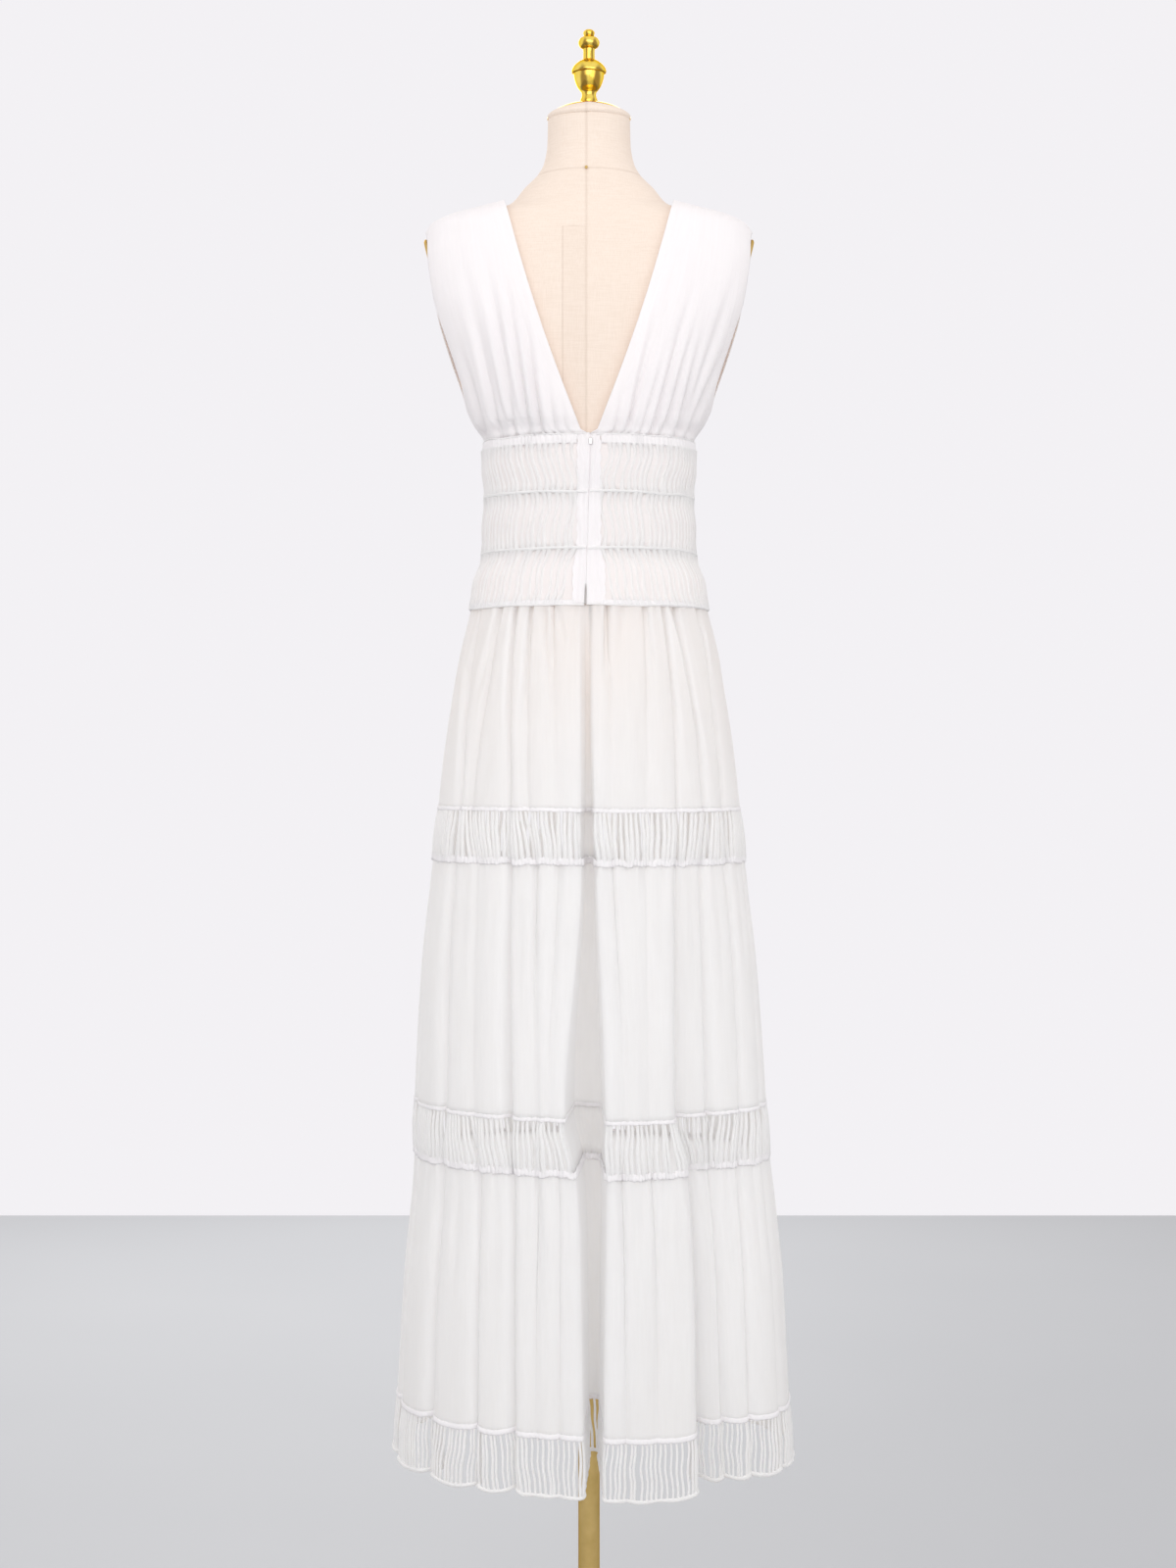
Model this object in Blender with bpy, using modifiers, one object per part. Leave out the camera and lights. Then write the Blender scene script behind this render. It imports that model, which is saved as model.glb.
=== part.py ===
"""A tiered, sleeveless maxi dress standing on a limbless dress form.

Metres, +Z up. The origin is on the floor, under the stand's pole. The dress faces -Y, so its
zip and its deep V are at +Y, and its wearer's left side is at +X.

A place round the body is given by its turn: 0 degrees is the centre back, 90 degrees the +X side
and 180 degrees the centre front.
"""

import math
from collections import namedtuple

import bmesh
import bpy

# ---------------------------------------------------------------- heights and sizes

Z_NECK_TOP = 1.7545
Z_SHOULDER_NECK = 1.6590
Z_WAIST_BANDS = (1.3910, 1.3287, 1.2663, 1.2040)
Z_TIER_1_FOOT = 0.980
Z_TIER_2_TOP = 0.926
Z_TIER_2_FOOT = 0.652
Z_TIER_3_TOP = 0.597
Z_TIER_3_FOOT = 0.322
Z_HEM = 0.262
Z_FORM_FOOT = 1.020

CLOTH = 0.0018
SEAM_GAP = 0.0003
RIB = 0.0007
PIPING_RADIUS = 0.0013
PIPING_GAP = 0.004
MITRE_LIMIT = 0.75

NECK_HALF_WIDTH = 0.0946
SHOULDER_HALF_WIDTH = 0.1795
BACK_V_HALF_WIDTH = 0.0070
FRONT_V_HEIGHT = 0.092
PLACKET_HALF_WIDTH = 0.0195
ZIP_LINE = 0.0006
ZIP_SLIT = 0.0024
ZIP_SLIT_HEIGHT = 0.018
ZIP_LEAN = (-0.002, 0.004)
SLIDER_SIZE = (0.0036, 0.0020, 0.0065)
SLIDER_BELOW_TOP = 0.0085
PIN_RADIUS = 0.0018
PIN_X = 0.003
PIN_Z = 1.688

POLE_RADIUS = 0.012
BASE_RADIUS = 0.180
BASE_HEIGHT = 0.034
PLATE_THICKNESS = 0.006
PLATE_HALF_DEPTH = 0.038
PLATE_HALF_HEIGHT = 0.090
PLATE_TOP_X = 0.1865
PLATE_TOP_Z = 1.620
PLATE_SLOPE = 0.262

# ---------------------------------------------------------------- sections round the body

# Each section is a superellipse: half its width, its depth to the front and to the back, and its
# power, where 2 is an ellipse and 3 is squarer.
Section = namedtuple("Section", "z width front back power")

FORM_SECTIONS = [
    Section(1.7545, 0.0460, 0.0500, 0.0450, 2.0),
    Section(1.7250, 0.0468, 0.0500, 0.0470, 2.0),
    Section(1.7030, 0.0510, 0.0530, 0.0520, 2.0),
    Section(1.6900, 0.0585, 0.0570, 0.0560, 2.0),
    Section(1.6755, 0.0730, 0.0595, 0.0595, 2.0),
    Section(1.6560, 0.0910, 0.0610, 0.0630, 2.0),
    Section(1.6455, 0.1260, 0.0645, 0.0680, 2.1),
    Section(1.6345, 0.1590, 0.0680, 0.0715, 2.3),
    Section(1.6200, 0.1760, 0.0725, 0.0755, 2.5),
    Section(1.5950, 0.1790, 0.0790, 0.0805, 2.8),
    Section(1.5500, 0.1700, 0.0940, 0.0875, 3.0),
    Section(1.5100, 0.1580, 0.1040, 0.0890, 2.8),
    Section(1.4700, 0.1440, 0.1100, 0.0870, 2.5),
    Section(1.4350, 0.1300, 0.1050, 0.0840, 2.2),
    Section(1.3910, 0.1110, 0.0910, 0.0795, 2.0),
    Section(1.3150, 0.1070, 0.0830, 0.0775, 2.0),
    Section(1.2600, 0.1110, 0.0840, 0.0820, 2.0),
    Section(1.1900, 0.1240, 0.0900, 0.0930, 2.0),
    Section(1.0950, 0.1350, 0.0980, 0.1040, 2.0),
    Section(1.0450, 0.1320, 0.0960, 0.1000, 2.0),
    Section(1.0200, 0.1230, 0.0880, 0.0910, 2.0),
]

BODICE_SECTIONS = [
    Section(1.6590, 0.0950, 0.0660, 0.0680, 2.0),
    Section(1.6500, 0.1300, 0.0690, 0.0725, 2.1),
    Section(1.6400, 0.1650, 0.0730, 0.0765, 2.3),
    Section(1.6300, 0.1790, 0.0770, 0.0800, 2.5),
    Section(1.6180, 0.1840, 0.0810, 0.0835, 2.6),
    Section(1.5950, 0.1870, 0.0870, 0.0885, 2.8),
    Section(1.5500, 0.1800, 0.1000, 0.0950, 3.0),
    Section(1.5100, 0.1680, 0.1110, 0.0975, 2.8),
    Section(1.4700, 0.1530, 0.1180, 0.0965, 2.5),
    Section(1.4350, 0.1390, 0.1140, 0.0940, 2.2),
    Section(1.4120, 0.1285, 0.1070, 0.0915, 2.0),
    Section(1.3950, 0.1165, 0.0970, 0.0860, 2.0),
    Section(1.3910, 0.1165, 0.0970, 0.0860, 2.0),
]

WAIST_SECTIONS = [
    Section(1.3910, 0.1165, 0.0970, 0.0860, 2.0),
    Section(1.3600, 0.1190, 0.0960, 0.0870, 2.0),
    Section(1.3287, 0.1145, 0.0910, 0.0845, 2.0),
    Section(1.2975, 0.1190, 0.0930, 0.0870, 2.0),
    Section(1.2663, 0.1175, 0.0920, 0.0880, 2.0),
    Section(1.2300, 0.1300, 0.0970, 0.0965, 2.0),
    Section(1.2040, 0.1315, 0.0985, 0.1005, 2.0),
]

SKIRT_SECTIONS = [
    Section(1.2040, 0.1315, 0.0985, 0.1005, 2.0),
    Section(1.1650, 0.1400, 0.1070, 0.1140, 2.0),
    Section(1.1100, 0.1500, 0.1160, 0.1300, 2.0),
    Section(1.0500, 0.1590, 0.1270, 0.1450, 2.0),
    Section(0.9800, 0.1665, 0.1390, 0.1570, 2.0),
    Section(0.9260, 0.1715, 0.1470, 0.1650, 2.0),
    Section(0.7900, 0.1855, 0.1620, 0.1750, 2.0),
    Section(0.6520, 0.1935, 0.1750, 0.1840, 2.1),
    Section(0.5970, 0.1955, 0.1790, 0.1880, 2.1),
    Section(0.4500, 0.2085, 0.1890, 0.1980, 2.3),
    Section(0.3220, 0.2155, 0.1960, 0.2060, 2.4),
    Section(0.2620, 0.2195, 0.2000, 0.2110, 2.4),
]

# The lower skirt hangs a little to one side: heights, and X of its middle there.
SWAY_LEVELS = (1.204, 0.926, 0.652, 0.530, 0.262)
SWAY_X = (0.0, 0.0, -0.0015, -0.0050, -0.0050)

# ---------------------------------------------------------------- folds of the skirt

# The skirt's folds run through six levels: the waist, the foot of tier 1, the top and the foot of
# tier 2, the top of tier 3 and the hem.
LEVELS = (
    Z_WAIST_BANDS[-1], Z_TIER_1_FOOT, Z_TIER_2_TOP, Z_TIER_2_FOOT, Z_TIER_3_TOP, Z_HEM
)

# A fold is a valley: its turn in degrees, its depth and half its mouth's width in millimetres,
# each at the six levels.
Fold = namedtuple("Fold", "name turns depths halves")

BACK_FOLDS = [
    Fold("behind left", (88, 84, 82, 80, 79, 78), (2, 6, 6, 8, 7, 10), (5, 8, 8, 10, 9, 11)),
    Fold("left side", (66, 58, 59, 55, 56, 54), (3, 16, 15, 18, 16, 22), (5, 8, 8, 9, 8, 10)),
    Fold("left outer", (47, 50, 45, 40, 38.5, 35), (7, 3, 2, 2, 9, 15), (5, 7, 7, 7, 5, 6)),
    Fold("left pleat", (37, 31, 30, 27, 26, 23), (7, 8, 14, 20, 10, 13), (4, 5, 6, 9, 6, 8)),
    Fold("left inner", (28, 23, 19.5, 18, 17.5, 16.5), (6, 3, 6, 1, 5, 1), (4, 6, 4, 6, 4, 6)),
    Fold("left centre", (17, 12, 11, 13.5, 10.5, 9.5), (5, 1, 3, 1, 3, 2), (4, 5, 3, 4, 3, 4)),
    Fold("right centre", (-9, -8, -8.5, -11, -9.5, -9), (6, 1, 4, 1, 6, 2), (4, 5, 3, 4, 4, 5)),
    Fold("right inner", (-27, -22, -21, -19, -19, -18), (5, 2, 3, 1, 4, 1), (4, 6, 5, 6, 4, 6)),
    Fold("right pleat", (-38, -35, -33, -28.5, -32, -31), (6, 5, 4, 3, 9, 18), (4, 5, 5, 6, 6, 8)),
    Fold("right outer", (-47, -49, -45, -42, -41, -41), (8, 9, 9, 13, 6, 9), (5, 6, 7, 10, 6, 8)),
    Fold("right side", (-66, -62, -61, -58, -55, -52), (5, 8, 6, 5, 6, 7), (5, 7, 7, 8, 8, 9)),
    Fold("behind right", (-88, -82, -80, -75, -73, -70), (2, 5, 5, 6, 5, 8), (5, 8, 8, 9, 9, 10)),
]

# The deep centre-back fold: the turn of each edge of its mouth, the X of each corner of its
# narrow back in millimetres, and its depth in millimetres, at the six levels.
DEEP_FOLD_LEFT_TURNS = (4.2, 3.4, 3.0, 8.6, 5.6, 3.2)
DEEP_FOLD_RIGHT_TURNS = (-1.2, -2.4, -2.9, -5.4, -4.7, -3.3)
DEEP_FOLD_LEFT_CORNERS = (4, 5, 5, 18, 9, 5)
DEEP_FOLD_RIGHT_CORNERS = (0, -4, -5, -13, -10, -6)
DEEP_FOLD_DEPTHS = (2, 46, 60, 104, 106, 150)

# Past the right pleat the back hangs further in: by how much there, in millimetres, at the six
# levels, and the turn where that has faded to nothing.
STEP_FOLD = "right pleat"
STEP_DEPTHS = (0, 0, 8, 48, 54, 68)
STEP_END = math.radians(-70)

# The front's folds: how many, the arc they take, how far each leans at the six levels in
# degrees, and its depth there in millimetres, from the shallowest fold to the deepest.
FRONT_FOLD_COUNT = 11
FRONT_FOLD_ARC = (105, 255)
FRONT_FOLD_LEANS = (2.5, 1.0, -0.5, -2.0, 1.5, 3.0)
FRONT_FOLD_LEAST = (5, 3, 4, 5, 5, 5)
FRONT_FOLD_MOST = (7, 9, 11, 17, 10, 19)
FRONT_FOLD_HALVES = (4, 6, 6, 8, 6, 9)
RIDGE_RISE = 0.0020
RIDGE_START = 0.060
FOLD_LIFT = 0.10
SIDE_LIFT = 0.006
LEAN = 0.0035
LEAN_WIDTH = 0.035


def between(levels, values, z):
    """The value at height z, linear between levels that run downwards."""
    for upper in range(len(levels) - 1):
        if z >= levels[upper + 1]:
            break
    share = (levels[upper] - z) / (levels[upper] - levels[upper + 1])
    share = min(max(share, 0.0), 1.0)
    return values[upper] + (values[upper + 1] - values[upper]) * share


def section_at(sections, z):
    levels = [section.z for section in sections]
    width, front, back, power = (
        between(levels, [section[column] for section in sections], z) for column in (1, 2, 3, 4)
    )
    return Section(z, width, front, back, power)


def section_point(section, turn):
    """(x, y) on the section at a turn in radians."""
    side = math.sin(turn)
    rear = math.cos(turn)
    depth = section.back if rear >= 0 else section.front
    x = section.width * math.copysign(abs(side) ** (2 / section.power), side)
    y = depth * math.copysign(abs(rear) ** (2 / section.power), rear)
    return x, y


def section_y(section, x, depth):
    """How far from the middle plane the section lies at x, on the side with this depth."""
    share = min(abs(x) / section.width, 1.0)
    return depth * (1 - share**section.power) ** (1 / section.power)


def ellipse_normal(section, turn):
    depth = section.back if math.cos(turn) >= 0 else section.front
    x = math.sin(turn) / section.width
    y = math.cos(turn) / depth
    length = math.hypot(x, y)
    return x / length, y / length


# ---------------------------------------------------------------- building helpers


def clear_scene():
    for item in list(bpy.data.objects):
        bpy.data.objects.remove(item, do_unlink=True)


def make_material(name, colour, roughness, metallic=0.0):
    material = bpy.data.materials.new(name)
    material.use_nodes = True
    shader = material.node_tree.nodes["Principled BSDF"]
    shader.inputs["Base Color"].default_value = (*colour, 1.0)
    shader.inputs["Roughness"].default_value = roughness
    shader.inputs["Metallic"].default_value = metallic
    material.diffuse_color = (*colour, 1.0)
    return material


def add_object(name, points, faces, material, smooth=True):
    mesh = bpy.data.meshes.new(name)
    mesh.from_pydata(points, [], faces)
    shell = bmesh.new()
    shell.from_mesh(mesh)
    bmesh.ops.recalc_face_normals(shell, faces=shell.faces)
    shell.to_mesh(mesh)
    shell.free()
    mesh.materials.append(material)
    if smooth:
        mesh.shade_smooth()
        mesh.set_sharp_from_angle(angle=math.radians(50))
    placed = bpy.data.objects.new(name, mesh)
    PARTS.objects.link(placed)
    return placed


def outward_steps(row, closed):
    """For each point of a level row, the step outwards that keeps a wall 1 thick, in X and Y."""
    steps = []
    count = len(row)
    for index in range(count):
        before = row[(index - 1) % count] if closed or index > 0 else row[index]
        after = row[(index + 1) % count] if closed or index < count - 1 else row[index]
        here = row[index]
        normals = []
        for start, end in ((before, here), (here, after)):
            run_x = end[0] - start[0]
            run_y = end[1] - start[1]
            length = math.hypot(run_x, run_y)
            if length > 1e-9:
                normals.append((run_y / length, -run_x / length))
        x = sum(normal[0] for normal in normals)
        y = sum(normal[1] for normal in normals)
        length = math.hypot(x, y)
        x, y = x / length, y / length
        cosine = max(x * normals[0][0] + y * normals[0][1], MITRE_LIMIT)
        steps.append((x / cosine, y / cosine))
    return steps


def cloth_wall(name, rows, material, closed, rib=0.0):
    """A wall of cloth between level rows of inner points, which run the way a turn falls.

    With a rib height, every second outer point stands that much further out.
    """
    columns = len(rows[0])
    inner = [point for row in rows for point in row]
    outer = []
    for row in rows:
        for index, (point, step) in enumerate(zip(row, outward_steps(row, closed))):
            thickness = CLOTH + rib * (index % 2)
            outer.append(
                (point[0] + step[0] * thickness, point[1] + step[1] * thickness, point[2])
            )
    outside = len(inner)
    last_row = (len(rows) - 1) * columns
    faces = []
    for column in range(columns if closed else columns - 1):
        following = (column + 1) % columns
        for start in range(0, last_row, columns):
            a, b = start + column, start + following
            c, d = b + columns, a + columns
            faces.append((a, d, c, b))
            faces.append((outside + a, outside + b, outside + c, outside + d))
        faces.append((column, following, outside + following, outside + column))
        a, b = last_row + column, last_row + following
        faces.append((b, a, outside + a, outside + b))
    if not closed:
        for start in range(0, last_row, columns):
            below = start + columns
            faces.append((start, outside + start, outside + below, below))
            a, b = start + columns - 1, below + columns - 1
            faces.append((a, b, outside + b, outside + a))
    return add_object(name, inner + outer, faces, material)


def lofted_solid(name, rings, material):
    """A closed solid through rings of equal count, with flat ends."""
    count = len(rings[0])
    points = [point for ring in rings for point in ring]
    faces = [tuple(range(count)), tuple(range(len(points) - count, len(points)))]
    for start in range(0, len(points) - count, count):
        for column in range(count):
            following = (column + 1) % count
            faces.append(
                (start + column, start + following, start + count + following, start + count + column)
            )
    return add_object(name, points, faces, material)


def turned_solid(name, profile, steps, material, x=0.0):
    """A solid of revolution about Z. The profile's (radius, z) points run from top to bottom."""
    mesh = bpy.data.meshes.new(name)
    points = [(radius, 0.0, z) for radius, z in profile]
    edges = [(index, index + 1) for index in range(len(points) - 1)]
    mesh.from_pydata(points, edges, [])
    mesh.materials.append(material)
    turned = bpy.data.objects.new(name, mesh)
    turned.location.x = x
    PARTS.objects.link(turned)
    screw = turned.modifiers.new("Turn", "SCREW")
    screw.steps = steps
    screw.render_steps = steps
    screw.use_merge_vertices = True
    screw.merge_threshold = 0.0001
    screw.use_smooth_shade = True
    return turned


# ---------------------------------------------------------------- dress form and stand

FORM_COLUMNS = 28


def plate_plane_x(z):
    """X of the arm plate's outer face at height z."""
    return PLATE_TOP_X - (PLATE_TOP_Z - z) * PLATE_SLOPE


def make_torso(material):
    """The padded torso: smooth sections, cut off level at each side for the arm plates."""
    tilt = math.cos(math.atan(PLATE_SLOPE))
    inset = (PLATE_THICKNESS + SEAM_GAP) / tilt
    rings = []
    for section in FORM_SECTIONS:
        side = plate_plane_x(section.z) - inset
        ring = []
        for column in range(FORM_COLUMNS):
            x, y = section_point(section, 2 * math.pi * column / FORM_COLUMNS)
            ring.append((min(max(x, -side), side), y, section.z))
        rings.append(ring)
    return lofted_solid("form_torso", rings, material)


def make_arm_plate(name, side, material):
    """An oval plate that closes one arm hole, leaning with the torso's side."""
    bpy.ops.mesh.primitive_cylinder_add(vertices=28, radius=1.0, depth=PLATE_THICKNESS)
    plate = bpy.context.object
    plate.name = name
    plate.data.name = name
    for vertex in plate.data.vertices:
        vertex.co.x *= PLATE_HALF_HEIGHT
        vertex.co.y *= PLATE_HALF_DEPTH
    lean = math.atan(PLATE_SLOPE)
    centre_z = PLATE_TOP_Z - PLATE_HALF_HEIGHT * math.cos(lean)
    centre_x = plate_plane_x(centre_z) - PLATE_THICKNESS / 2 / math.cos(lean)
    plate.rotation_euler.y = side * (math.pi / 2 + lean)
    plate.location = (side * centre_x, 0.0, centre_z)
    plate.data.materials.append(material)
    for holder in list(plate.users_collection):
        holder.objects.unlink(plate)
    PARTS.objects.link(plate)
    return plate


NECK_CAP_PROFILE = [
    (0.0, 1.7735),
    (0.0105, 1.7733),
    (0.0200, 1.7712),
    (0.0330, 1.7665),
    (0.0430, 1.7605),
    (0.0468, 1.7572),
    (0.0468, Z_NECK_TOP + SEAM_GAP),
    (0.0, Z_NECK_TOP + SEAM_GAP),
]

FINIAL_PROFILE = [
    (0.0, 1.8560),
    (0.0045, 1.8545),
    (0.0066, 1.8515),
    (0.0058, 1.8480),
    (0.0095, 1.8450),
    (0.0116, 1.8410),
    (0.0095, 1.8365),
    (0.0063, 1.8335),
    (0.0063, 1.8240),
    (0.0110, 1.8195),
    (0.0198, 1.8165),
    (0.0193, 1.8080),
    (0.0155, 1.7990),
    (0.0108, 1.7895),
    (0.0094, 1.7855),
    (0.0094, 1.7738),
    (0.0, 1.7738),
]

BASE_PROFILE = [
    (0.0, BASE_HEIGHT),
    (0.0205, BASE_HEIGHT),
    (0.0225, BASE_HEIGHT - 0.002),
    (0.0225, BASE_HEIGHT - 0.009),
    (0.0300, BASE_HEIGHT - 0.012),
    (BASE_RADIUS - 0.040, 0.0185),
    (BASE_RADIUS - 0.006, 0.0135),
    (BASE_RADIUS, 0.0090),
    (BASE_RADIUS, 0.0),
    (0.0, 0.0),
]


def make_stand(form_cloth, brass, gold):
    make_torso(form_cloth)
    for name, side in (("arm_plate_left", 1), ("arm_plate_right", -1)):
        make_arm_plate(name, side, brass)
    turned_solid("neck_cap", NECK_CAP_PROFILE, 28, gold)
    turned_solid("finial", FINIAL_PROFILE, 16, gold)
    turned_solid("stand_base", BASE_PROFILE, 36, brass)
    pole = [
        (0.0, Z_FORM_FOOT - SEAM_GAP),
        (POLE_RADIUS, Z_FORM_FOOT - SEAM_GAP),
        (POLE_RADIUS, BASE_HEIGHT + SEAM_GAP),
        (0.0, BASE_HEIGHT + SEAM_GAP),
    ]
    turned_solid("stand_pole", pole, 24, brass)
    make_neck_pin(brass)


def make_neck_pin(material):
    """A small round-headed pin on the neck seam at the back."""
    bpy.ops.mesh.primitive_uv_sphere_add(segments=10, ring_count=6, radius=PIN_RADIUS)
    pin = bpy.context.object
    pin.name = "neck_pin"
    pin.data.name = "neck_pin"
    section = section_at(FORM_SECTIONS, PIN_Z)
    pin.location = (PIN_X, section.back + PIN_RADIUS + 2 * SEAM_GAP, PIN_Z)
    pin.data.materials.append(material)
    for holder in list(pin.users_collection):
        holder.objects.unlink(pin)
    PARTS.objects.link(pin)


# ---------------------------------------------------------------- bodice

# A gather runs from the waist to the shoulder: its place across the panel there, 0 at the
# neckline and 1 at the arm, its depth and its half width in millimetres at the waist.
Gather = namedtuple("Gather", "waist shoulder depth half")

BACK_GATHERS = [
    Gather(0.14, 0.13, 5.0, 3.0),
    Gather(0.27, 0.27, 6.5, 3.5),
    Gather(0.40, 0.41, 5.5, 3.0),
    Gather(0.54, 0.57, 6.5, 3.5),
    Gather(0.70, 0.74, 5.5, 3.5),
]

FRONT_GATHERS = [
    Gather(0.16, 0.15, 5.0, 3.0),
    Gather(0.30, 0.30, 6.0, 3.5),
    Gather(0.44, 0.45, 6.5, 3.5),
    Gather(0.59, 0.60, 5.5, 3.5),
    Gather(0.74, 0.76, 5.0, 3.5),
]

PANEL_WIDTH = 0.13
NECKLINE_BOW = 0.006

# Above its start, a gather is deepest, and it fades by this power up to the shoulder. It sinks
# more towards the middle plane than sideways, by this much.
GATHER_START = 0.06
GATHER_FADE = 1.3
GATHER_AIM = 1.5

BODICE_RISES = (0.0, 0.015, 0.07, 0.15, 0.24, 0.46, 0.70, 0.86, 0.94, 0.982, 1.0)

# How far forward or back of the side line the armhole's edge lies, by the share of the rise.
ARMHOLE_RISES = (1.0, 0.95, 0.86, 0.70, 0.50, 0.34, 0.24, 0.18, 0.15, 0.0)
ARMHOLE_DEPTHS = (0.0, 0.030, 0.043, 0.049, 0.047, 0.040, 0.031, 0.016, 0.0, 0.0)


def ridge_height(x):
    """Height of the bodice's shoulder line at x."""
    above = BODICE_SECTIONS[0]
    for below in BODICE_SECTIONS[1:]:
        if below.width >= x:
            share = (x - above.width) / (below.width - above.width)
            return above.z + (below.z - above.z) * share
        above = below
    return above.z


def neckline_x(rise, height_of_v):
    """X of the neckline at a share of the bodice's rise. Below the V's point it is the seam."""
    point = height_of_v / (Z_SHOULDER_NECK - Z_WAIST_BANDS[0])
    if rise <= point:
        return SEAM_GAP / 2
    share = (rise - point) / (1 - point)
    bow = NECKLINE_BOW * math.sin(math.pi * share)
    start = BACK_V_HALF_WIDTH if height_of_v == 0 else SEAM_GAP / 2
    return start + (NECK_HALF_WIDTH - start) * share + bow


def panel_height(across, rise):
    """Height at a share of the way from the neckline to the arm, and of the way up the panel."""
    shoulder = NECK_HALF_WIDTH + (SHOULDER_HALF_WIDTH - NECK_HALF_WIDTH) * across
    return Z_WAIST_BANDS[0] + (ridge_height(shoulder) - Z_WAIST_BANDS[0]) * rise


def armhole_x(rise, depth_of):
    """X of the panel's outer edge: the side seam at first, then the armhole."""
    section = section_at(BODICE_SECTIONS, panel_height(1.0, rise))
    if rise >= 1:
        return SHOULDER_HALF_WIDTH
    depth = depth_of(section)
    away = between(ARMHOLE_RISES, ARMHOLE_DEPTHS, rise) / depth
    return section.width * (1 - away**section.power) ** (1 / section.power)


def bodice_point(across, rise, height_of_v, depth_of):
    """A point on the panel's smooth form, on the +X side, as (x, distance from the mid plane, z)."""
    near = neckline_x(rise, height_of_v)
    far = armhole_x(rise, depth_of)
    spread = math.sin(across * math.pi / 2)
    share = spread + (across - spread) * rise
    x = near + (far - near) * share
    z = panel_height(across, rise)
    section = section_at(BODICE_SECTIONS, z)
    y = 0.0 if rise >= 1 else section_y(section, x, depth_of(section))
    return x, y, z


def gather_columns(gathers, panel_width):
    """Columns of the panel: a place at the waist, one at the shoulder, and a depth in metres."""
    columns = [(0.0, 0.0, 0.0)]
    for gather in gathers:
        half = gather.half / 1000 / panel_width
        columns.append((gather.waist - half, gather.shoulder - half, 0.0))
        columns.append((gather.waist, gather.shoulder, gather.depth / 1000))
        columns.append((gather.waist + half, gather.shoulder + half, 0.0))
    columns.append(((gathers[-1].waist + 1) / 2, (gathers[-1].shoulder + 1) / 2, 0.0))
    columns.append((1.0, 1.0, 0.0))
    return columns


def gather_strength(rise):
    """How much of its depth a gather has at a rise: none in the seam, most just above it."""
    return min(rise / GATHER_START, 1.0) * (1 - rise) ** GATHER_FADE


def make_bodice_panel(name, mirror, facing, gathers, height_of_v, material):
    """One quarter of the bodice. mirror is 1 for +X, facing 1 for the back and -1 for the front."""

    def depth_of(section):
        return section.back if facing > 0 else section.front

    points = []
    columns = gather_columns(gathers, PANEL_WIDTH)
    for rise in BODICE_RISES:
        for waist_place, shoulder_place, depth in columns:
            across = waist_place + (shoulder_place - waist_place) * rise
            x, y, z = bodice_point(across, rise, height_of_v, depth_of)
            sink = depth * gather_strength(rise)
            length = math.hypot(x, y * GATHER_AIM)
            x -= sink * x / length
            y = max(y - sink * y * GATHER_AIM / length, 0.0) + SEAM_GAP / 2
            z += SEAM_GAP / 2
            points.append((mirror * x, facing * y, z))
    width = len(columns)
    faces = []
    for row in range(len(BODICE_RISES) - 1):
        for column in range(width - 1):
            a = row * width + column
            corners = (a, a + 1, a + width + 1, a + width)
            faces.append(corners if mirror * facing < 0 else corners[::-1])
    mesh = bpy.data.meshes.new(name)
    mesh.from_pydata(points, [], faces)
    mesh.materials.append(material)
    mesh.shade_smooth()
    panel = bpy.data.objects.new(name, mesh)
    PARTS.objects.link(panel)
    shell = panel.modifiers.new("Cloth", "SOLIDIFY")
    shell.thickness = CLOTH
    shell.offset = 1.0
    shell.use_even_offset = True
    return panel


def make_bodice(cloth):
    make_bodice_panel("bodice_back_left", 1, 1, BACK_GATHERS, 0.0, cloth)
    make_bodice_panel("bodice_back_right", -1, 1, BACK_GATHERS, 0.0, cloth)
    make_bodice_panel("bodice_front_left", 1, -1, FRONT_GATHERS, FRONT_V_HEIGHT, cloth)
    make_bodice_panel("bodice_front_right", -1, -1, FRONT_GATHERS, FRONT_V_HEIGHT, cloth)


# ---------------------------------------------------------------- waist

BAND_COLUMNS = 61
BAND_RISES = (0.0, 0.5, 1.0)


def make_waist_bands(cloth):
    """Three shirred bands, each open at the centre back, where the placket fills them."""
    names = ("waist_band_upper", "waist_band_middle", "waist_band_lower")
    for name, top, foot in zip(names, Z_WAIST_BANDS, Z_WAIST_BANDS[1:]):
        rows = []
        for share in BAND_RISES:
            z = top - SEAM_GAP / 2 + (foot - top + SEAM_GAP) * share
            section = section_at(WAIST_SECTIONS, z)
            gap = math.asin((PLACKET_HALF_WIDTH + SEAM_GAP) / section.width)
            row = []
            for column in range(BAND_COLUMNS):
                turn = 2 * math.pi - gap - (2 * math.pi - 2 * gap) * column / (BAND_COLUMNS - 1)
                row.append((*section_point(section, turn), z))
            rows.append(row)
        cloth_wall(name, rows, cloth, closed=False, rib=RIB)


def zip_line_x(z):
    """The zip's line leans a little, from one side of the middle to the other."""
    return between((Z_WAIST_BANDS[0], Z_WAIST_BANDS[-1]), ZIP_LEAN, z)


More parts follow.
